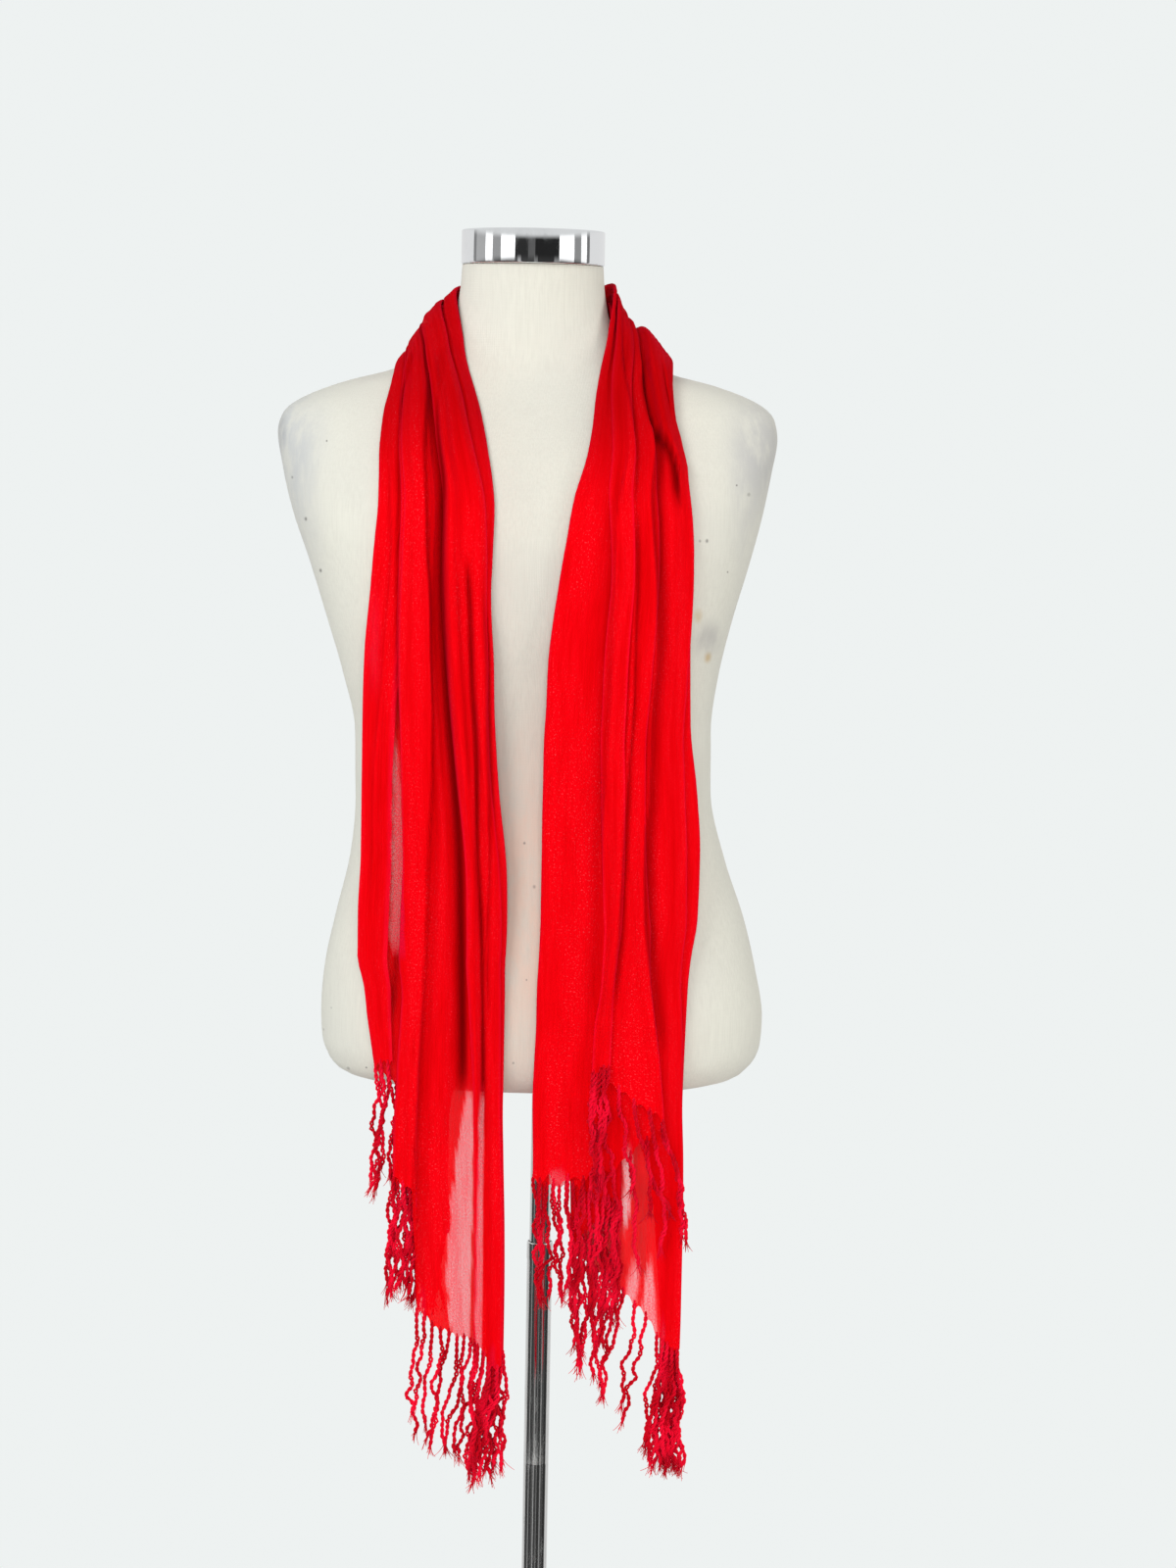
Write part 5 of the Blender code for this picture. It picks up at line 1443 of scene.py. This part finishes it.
# ------------------------------------------------------------------------ the fringe
class YarnTree:
    """Geometry nodes that lay round yarns along lines, one or two twisted together."""

    def __init__(self, name: str, plies: int) -> None:
        """Build the tree.

        Args:
            name: name of the tree.
            plies: how many yarns share a line.
        """
        self.tree = bpy.data.node_groups.new(name, "GeometryNodeTree")
        self.bench = NodeBench(self.tree)
        kinds = {"Geometry": "Geometry", "Yarn Radius": "Float", "Twist Pitch": "Float", "Sides": "Int",
                 "Finish": "Material"}
        self.sockets = {key: self.add_socket(key, "INPUT", kind) for key, kind in kinds.items()}
        self.add_socket("Geometry", "OUTPUT", "Geometry")
        self.build(plies)

    def add_socket(self, name: str, way: str, kind: str) -> str:
        """Add a named socket to the tree and return its identifier."""
        face = self.tree.interface
        return face.new_socket(name=name, in_out=way, socket_type="NodeSocket" + kind).identifier

    def kept(self, name: str) -> Socket:
        """A number that each point keeps under a name."""
        return self.bench.add("GeometryNodeInputNamedAttribute", {"Name": name}, data_type="FLOAT").outputs[0]

    def build(self, plies: int) -> None:
        """Join the nodes."""
        bench = self.bench
        source = bench.add("NodeGroupInput").outputs
        lines = bench.add("GeometryNodeMeshToCurve", {0: source["Geometry"]}).outputs[0]
        profile = bench.add("GeometryNodeCurvePrimitiveCircle",
                            {"Resolution": source["Sides"], "Radius": source["Yarn Radius"]}, mode="RADIUS")
        thick = self.kept("thick")
        joined = bench.add("GeometryNodeJoinGeometry")
        for ply in range(plies):
            line = self.twisted(lines, source, TURN * ply / plies) if plies > 1 else lines
            sized = bench.add("GeometryNodeSetCurveRadius", {"Curve": line, "Radius": thick}).outputs[0]
            yarn = bench.add("GeometryNodeCurveToMesh", {"Curve": sized, "Profile Curve": profile.outputs[0],
                                                         "Fill Caps": True})
            if "Scale" in yarn.inputs:
                bench.tree.links.new(thick, yarn.inputs["Scale"])
            bench.tree.links.new(yarn.outputs[0], joined.inputs[0])
        smooth = bench.add("GeometryNodeSetShadeSmooth", {0: joined.outputs[0]}).outputs[0]
        real = bench.add("GeometryNodeRealizeInstances", {0: smooth}).outputs[0]
        dressed = bench.add("GeometryNodeSetMaterial", {"Geometry": real, "Material": source["Finish"]})
        bench.add("NodeGroupOutput", {0: dressed.outputs[0]})

    def twisted(self, lines: Socket, source: object, start: float) -> Socket:
        """The lines moved on to one ply's helix.

        Args:
            lines: the tassels' middle lines.
            source: the tree's inputs.
            start: the ply's angle at the root.

        Returns:
            The ply's own line.
        """
        bench = self.bench
        length = bench.add("GeometryNodeSplineParameter").outputs["Length"]
        phase, gap = self.kept("phase"), self.kept("gap")
        turns = bench.math("DIVIDE", length, source["Twist Pitch"])
        angle = bench.math("ADD", bench.times(turns, TURN), bench.math("ADD", phase, start))
        normal = bench.add("GeometryNodeInputNormal").outputs[0]
        tangent = bench.add("GeometryNodeInputTangent").outputs[0]
        other = bench.add("ShaderNodeVectorMath", {0: tangent, 1: normal}, operation="CROSS_PRODUCT").outputs[0]
        parts = []
        for axis, wave in ((normal, "COSINE"), (other, "SINE")):
            share = bench.times(bench.math(wave, angle), gap)
            parts.append(bench.add("ShaderNodeVectorMath", {0: axis, "Scale": share}, operation="SCALE").outputs[0])
        offset = bench.add("ShaderNodeVectorMath", {0: parts[0], 1: parts[1]}, operation="ADD").outputs[0]
        return bench.add("GeometryNodeSetPosition", {"Geometry": lines, "Offset": offset}).outputs[0]

    def lay(self, name: str, lines: list[Values], values: dict[str, list[Values]],
            settings: dict[str, object]) -> bpy.types.Mesh:
        """Run the tree over lines of points.

        Args:
            name: name of the mesh.
            lines: points of every line, in metres.
            values: a number for each point, by attribute name.
            settings: the tree's inputs by name.

        Returns:
            The yarns as one plain mesh.
        """
        mesh = bpy.data.meshes.new(name + "_lines")
        starts = np.cumsum([0] + [len(line) for line in lines])
        edges = [(s + i, s + i + 1) for s, line in zip(starts, lines) for i in range(len(line) - 1)]
        mesh.from_pydata(np.concatenate(lines).tolist(), edges, [])
        for key, numbers in values.items():
            store(mesh, key, np.concatenate(numbers))
        carrier = linked(name + "_lines", mesh)
        modifier = carrier.modifiers.new("yarns", "NODES")
        modifier.node_group = self.tree
        for key, value in settings.items():
            modifier[self.sockets[key]] = value
        graph = bpy.context.evaluated_depsgraph_get()
        made = bpy.data.meshes.new_from_object(carrier.evaluated_get(graph))
        made.name = name
        bpy.data.objects.remove(carrier)
        return made


@dataclass
class Fringe:
    """The tassels of one end: pairs of yarns twisted together, knotted and frayed."""

    side: Side
    drape: Drape
    seed: int
    pitch: float = TASSEL_PITCH
    first: float = TASSEL_FIRST
    length: float = 96.0
    step: float = 1.9
    yarn_radius: float = 1.05
    twist_pitch: float = 10.5
    length_spread: float = 5.0
    root: float = 3.0               # how far above the hem a tassel starts
    last_gap: float = 2.0           # least distance of the last tassel from the cloth's side
    sway_reach: float = 40.0        # length over which the loose waves grow
    hook_share: float = 0.22        # how many tassels have one sharper bend
    pull_limit: float = 12.0        # furthest that a bunch draws a tassel sideways
    brush: int = 11
    brush_length: float = 14.0
    brush_radius: float = 0.48
    brush_points: int = 7
    brush_taper: float = 0.45       # thickness of a frayed end's tip
    root_thin: float = 0.55         # thickness of a tassel at the hem
    knot: tuple[float, float, float] = (0.75, 0.975, 0.018)     # size, place along and reach
    ply_gap: float = 0.86           # distance of a ply from the middle, in yarn radii
    yarn_sides: tuple[int, int] = (6, 3)                        # of the tassels and the frayed ends

    def centre_lines(self, rng: np.random.Generator) -> list[Values]:
        """Middle lines of the tassels, in millimetres, hanging from the hem in loose bunches."""
        drape = self.drape
        down = -1.0 if self.side is Side.LEFT else 1.0
        spots = np.arange(self.first, drape.sizes.cut_width - self.last_gap, self.pitch)
        columns = np.interp(spots, drape.cloth_u, range(len(drape.cloth_u)))
        lines = []
        for column in columns:
            length = self.length + rng.normal(0, self.length_spread)
            drop = np.arange(-self.root, length, self.step)
            hem = float(drape.hem_v(self.side, column))
            line = drape.point(hem + down * drop, float(column))
            line[:, 2] = line[0, 2] - (drop + self.root)
            row = np.interp(column, range(len(drape.column_row)), drape.column_row)
            line[:, 0] += np.interp(row, *zip(*LEANS[self.side])) * smooth_step(0.0, 0.9 * self.length, drop)
            lines.append(self.wave(line, drop, rng))
        return self.bunch(lines, rng)

    def wave(self, line: Values, drop: Values, rng: np.random.Generator) -> Values:
        """Give a hanging line the loose waves of twisted yarn."""
        grown = smooth_step(0.0, self.sway_reach, drop)[:, None]
        sway = np.zeros((len(drop), 3))
        for size, wave in ((rng.uniform(1.0, 3.6), rng.uniform(40, 90)), (rng.uniform(0.5, 1.5), rng.uniform(15, 28)),
                           (rng.uniform(0.1, 0.5), rng.uniform(7, 11))):
            phase, turn = rng.uniform(0, TURN, 2)
            swing = size * (np.sin(TURN * drop / wave + phase) - math.sin(phase))
            sway[:, 0] += swing
            sway[:, 1] += 0.35 * swing * math.cos(turn)
        if rng.random() < self.hook_share:
            place, reach, size = rng.uniform(35, 80), rng.uniform(6, 11), rng.choice((-1, 1)) * rng.uniform(3.5, 7.5)
            sway[:, 0] += size * np.exp(-((drop - place) / reach) ** 2)
            sway[:, 2] += 0.8 * abs(size) * (1 / (1 + np.exp(-(drop - place) / reach)))
        return line + sway * grown

    def bunch(self, lines: list[Values], rng: np.random.Generator) -> list[Values]:
        """Draw neighbouring tassels together towards their ends."""
        k = 0
        while k < len(lines):
            group = lines[k:k + int(rng.integers(1, 5))]
            centre = float(np.mean([line[-1, 0] for line in group]))
            pull = rng.uniform(0.15, 0.75)
            for line in group:
                share = smooth_step(0.15, 1.0, np.linspace(0, 1, len(line))) * pull
                line[:, 0] += np.clip(centre - line[-1, 0], -self.pull_limit, self.pull_limit) * share
            k += len(group)
        return lines

    def brushes(self, lines: list[Values], rng: np.random.Generator) -> list[Values]:
        """Frayed yarn ends below every tassel's knot, in millimetres."""
        ends = []
        for line in lines:
            heading = unit(line[-1] - line[-4])
            for _ in range(self.brush):
                spread = rng.normal(0, 0.09, 3) + (0, 0, -0.35)
                start = line[-3] + rng.normal(0, 0.55, 3)
                way = unit(heading + spread)
                curl = unit(np.cross(way, rng.normal(0, 1, 3))) * rng.uniform(0.0, 0.04)
                along = np.linspace(0, self.brush_length * rng.uniform(0.55, 1.15), self.brush_points)[:, None]
                ends.append(start + way * along + curl * along ** 2)
        return ends

    def twist(self, lines: list[Values], rng: np.random.Generator) -> dict[str, list[Values]]:
        """Thickness, gap between the plies and starting angle along every tassel.

        Args:
            lines: the tassels' middle lines.
            rng: source of their differences.

        Returns:
            Values for every point, by the name that the tree reads.
        """
        size, place, reach = self.knot
        values = {"thick": [], "gap": [], "phase": []}
        for line in lines:
            s = np.linspace(0, 1, len(line))
            root = self.root_thin + (1 - self.root_thin) * smooth_step(0.0, 0.06, s)
            knot = size * np.exp(-((s - place) / reach) ** 2)
            loose = 1 + 0.55 * np.clip(np.sin(s * rng.uniform(8, 20) + rng.uniform(0, 6)), 0, 1) ** 2
            close = smooth_step(1.0, 0.93, s) * (0.35 + 0.65 * smooth_step(0, 0.05, s))
            values["thick"].append(root + knot)
            values["gap"].append(self.yarn_radius * self.ply_gap * MM * loose * close)
            values["phase"].append(np.full(len(line), rng.uniform(0, TURN)))
        return values

    def build(self, material: bpy.types.Material, twisted: YarnTree, single: YarnTree) -> bpy.types.Object:
        """Make the fringe.

        Args:
            material: its finish.
            twisted: tree for the two-ply tassels.
            single: tree for the frayed ends.

        Returns:
            The fringe, which stands for its solid.
        """
        rng = np.random.default_rng(self.seed)
        lines = self.centre_lines(rng)
        cords = twisted.lay("cords", [line * MM for line in lines], self.twist(lines, rng),
                            {"Yarn Radius": self.yarn_radius * MM, "Twist Pitch": self.twist_pitch * MM,
                             "Sides": self.yarn_sides[0], "Finish": material})
        ends = self.brushes(lines, rng)
        taper = [np.linspace(1.0, self.brush_taper, len(end)) for end in ends]
        tips = single.lay("tips", [end * MM for end in ends], {"thick": taper},
                          {"Yarn Radius": self.brush_radius * MM, "Sides": self.yarn_sides[1],
                           "Finish": material})
        node = "fringe_%s" % self.side.value
        parts = [linked(node + "_tassels", mesh) for mesh in (cords, tips)]
        with bpy.context.temp_override(active_object=parts[0], selected_editable_objects=parts):
            bpy.ops.object.join()
        fringe = parts[0]
        fringe.name = node + "_tassels"
        place_piece(fringe, node + "_yarn", node)
        return fringe


# ----------------------------------------------------------------- stage and camera
@dataclass(frozen=True)
class Lamp:
    """One soft square light, in metres and watts."""

    name: str
    place: tuple[float, float, float]
    size: float
    power: float
    tint: tuple[float, float, float]
    aim: tuple[float, float, float] = (0, 0, 1.0)

    def hang(self) -> None:
        """Put the light in the scene, where no mirror shows it."""
        data = bpy.data.lights.new(self.name, "AREA")
        data.size, data.energy, data.color = self.size, self.power, self.tint
        lamp = linked(self.name, data)
        lamp.location = self.place
        lamp.rotation_euler = (Vector(self.aim) - Vector(self.place)).to_track_quat("-Z", "Y").to_euler()
        lamp.visible_glossy = False


@dataclass(frozen=True)
class Studio:
    """Pale floor, soft light and the camera at the photo's place."""

    lens: float = 78.3
    sensor: float = 36.0
    pitch: float = 6.5
    roll: float = 1.1
    camera_place: tuple[float, float, float] = (0.03516, -2.98072, 1.34377)
    # millimetres
    floor_radius: float = 740.0
    floor_heights: tuple[float, float] = (-4.0, -0.3)
    ground: tuple = colour(0.855, 0.885, 0.880)
    ambient_low: tuple = colour(0.44, 0.44, 0.43)
    ambient_high: tuple = colour(0.56, 0.57, 0.57)
    # angle in degrees where each band starts, and its brightness, level with the neck band
    high_bands: tuple = ((-180, 0.80), (-110, 0.25), (-103, 0.45), (-82, 1.6), (-68, 0.35), (-53, 1.7), (-29, 0.03),
                         (-8, 0.12), (4, 0.02), (43, 1.7), (70, 0.30), (84, 1.3), (97, 0.20), (104, 0.80))
    # the same below the horizon, where the tubes mirror the darker floor
    low_bands: tuple = ((-180, 0.70), (-124, 0.28), (-120, 0.66), (-108, 0.06), (-74, 0.32), (-66, 0.05),
                        (-40, 0.10), (-24, 0.50), (-19, 0.06), (2, 0.22), (8, 0.04), (34, 0.30), (44, 0.07),
                        (70, 0.03), (92, 0.12), (100, 0.70), (124, 0.34), (128, 0.72))
    lamps: tuple[Lamp, ...] = (
        Lamp("high_softbox", (-1.3, -2.6, 2.8), 1.2, 46, (1.0, 0.99, 0.98), (0, 0, 1.05)),
        Lamp("front_fill", (0.1, -3.4, 1.3), 1.0, 40, (1.0, 0.99, 0.97)),
        Lamp("right_window", (2.7, -1.3, 1.3), 1.4, 30, (1.0, 0.97, 0.93)),
        Lamp("left_window", (-2.8, -0.9, 1.4), 1.6, 22, (0.93, 0.97, 1.0)),
        Lamp("back_wall", (0.6, 3.2, 1.9), 1.8, 40, (1.0, 0.99, 0.98)),
    )

    def camera(self) -> None:
        """Stand the camera where the photo was taken from."""
        data = bpy.data.cameras.new("photo_camera")
        data.sensor_fit = "VERTICAL"
        data.sensor_height = self.sensor
        data.lens = self.lens
        camera = linked("photo_camera", data)
        pitch, roll = math.radians(self.pitch), math.radians(self.roll)
        forward = Vector((0, math.cos(pitch), -math.sin(pitch)))
        level = Vector((1, 0, 0))
        upright = level.cross(forward)
        right = math.cos(roll) * level + math.sin(roll) * upright
        up = -math.sin(roll) * level + math.cos(roll) * upright
        turn = Matrix((right, up, -forward)).transposed()
        camera.matrix_world = Matrix.Translation(self.camera_place) @ turn.to_4x4()
        bpy.context.scene.camera = camera

    def floor(self) -> None:
        """A plain pale floor just under the base."""
        finish = Finish("pale_floor")
        bench = finish.bench
        haze = bench.noise(bench.place(), 3.0, 2.0, 0.5)
        tone = bench.mix(bench.spread(haze, 0.3, 0.7), colour(0.84, 0.85, 0.84), colour(0.80, 0.81, 0.80))
        finish.set({"Base Color": tone, "Roughness": 0.7})
        low, high = self.floor_heights
        verts, faces = turned(((low, self.floor_radius), (high, self.floor_radius)), 96)
        mesh_object("floor", verts, faces, finish.material, sharp_angle=40)

    def light(self) -> None:
        """Pale surroundings with the dark and bright bands that the metal mirrors."""
        world = bpy.data.worlds.new("room")
        bpy.context.scene.world = world
        world.use_nodes = True
        bench = NodeBench(world.node_tree)
        world.node_tree.nodes.clear()
        x, y, z = bench.split(bench.add("ShaderNodeTexCoord").outputs["Generated"])
        half_turns = bench.math("DIVIDE", bench.math("ARCTAN2", x, bench.times(y, -1.0)), math.pi)
        turn = bench.math("ADD", bench.times(half_turns, 0.5), 0.5)
        low, high = (self.bands(bench, turn, table) for table in (self.low_bands, self.high_bands))
        bands = bench.mix(bench.spread(z, -0.12, -0.04), low, high)
        bands = bench.mix(bench.spread(z, 0.10, 0.16), bands, colour(0.75, 0.76, 0.76))
        rays = bench.add("ShaderNodeLightPath").outputs
        ambient = bench.mix(bench.spread(z, -0.6, 0.8), self.ambient_low, self.ambient_high)
        seen = bench.mix(rays["Is Glossy Ray"], ambient, bands)
        seen = bench.mix(rays["Is Camera Ray"], seen, self.ground)
        sky = bench.add("ShaderNodeBackground", {"Color": seen, "Strength": 1.0})
        bench.add("ShaderNodeOutputWorld", {"Surface": sky.outputs[0]})
        for lamp in self.lamps:
            lamp.hang()

    @staticmethod
    def bands(bench: NodeBench, turn: Socket, table: tuple) -> Socket:
        """Bright and dark uprights round the room.

        Args:
            bench: the room's nodes.
            turn: how far round, 0 to 1, from behind the camera.
            table: angle in degrees where each band starts, and its brightness.

        Returns:
            The bands' colour.
        """
        node = bench.add("ShaderNodeValToRGB", {0: turn})
        ramp = node.color_ramp
        ramp.interpolation = "CONSTANT"
        ramp.elements.remove(ramp.elements[-1])
        for i, (angle, bright) in enumerate(table):
            place = (angle + 180) / 360
            element = ramp.elements[0] if i == 0 else ramp.elements.new(place)
            element.position, element.color = place, colour(bright, bright, bright)
        return node.outputs[0]

    def build(self) -> None:
        """Set the whole stage."""
        view = bpy.context.scene.view_settings
        view.view_transform = "Standard"
        self.camera()
        self.floor()
        self.light()


def main() -> None:
    """Build the piece in order."""
    logging.basicConfig(level=logging.INFO, format="%(name)s %(message)s")
    for obj in list(bpy.data.objects):
        bpy.data.objects.remove(obj, do_unlink=True)
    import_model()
    Studio().build()
    form = DressForm().build(FormCover().build(knit_group()))
    Stand().build()
    sizes = ScarfSizes()
    drape = Drape(sizes, form)
    cloth = Scarf(sizes, drape).build(RedTwill().build(twill_group()))
    yarn = RedYarn().build()
    twisted, single = YarnTree("two_ply_tassels", 2), YarnTree("frayed_ends", 1)
    fringes = [Fringe(side, drape, seed).build(yarn, twisted, single)
               for side, seed in ((Side.LEFT, 11), (Side.RIGHT, 23))]


if __name__ == "__main__":
    main()
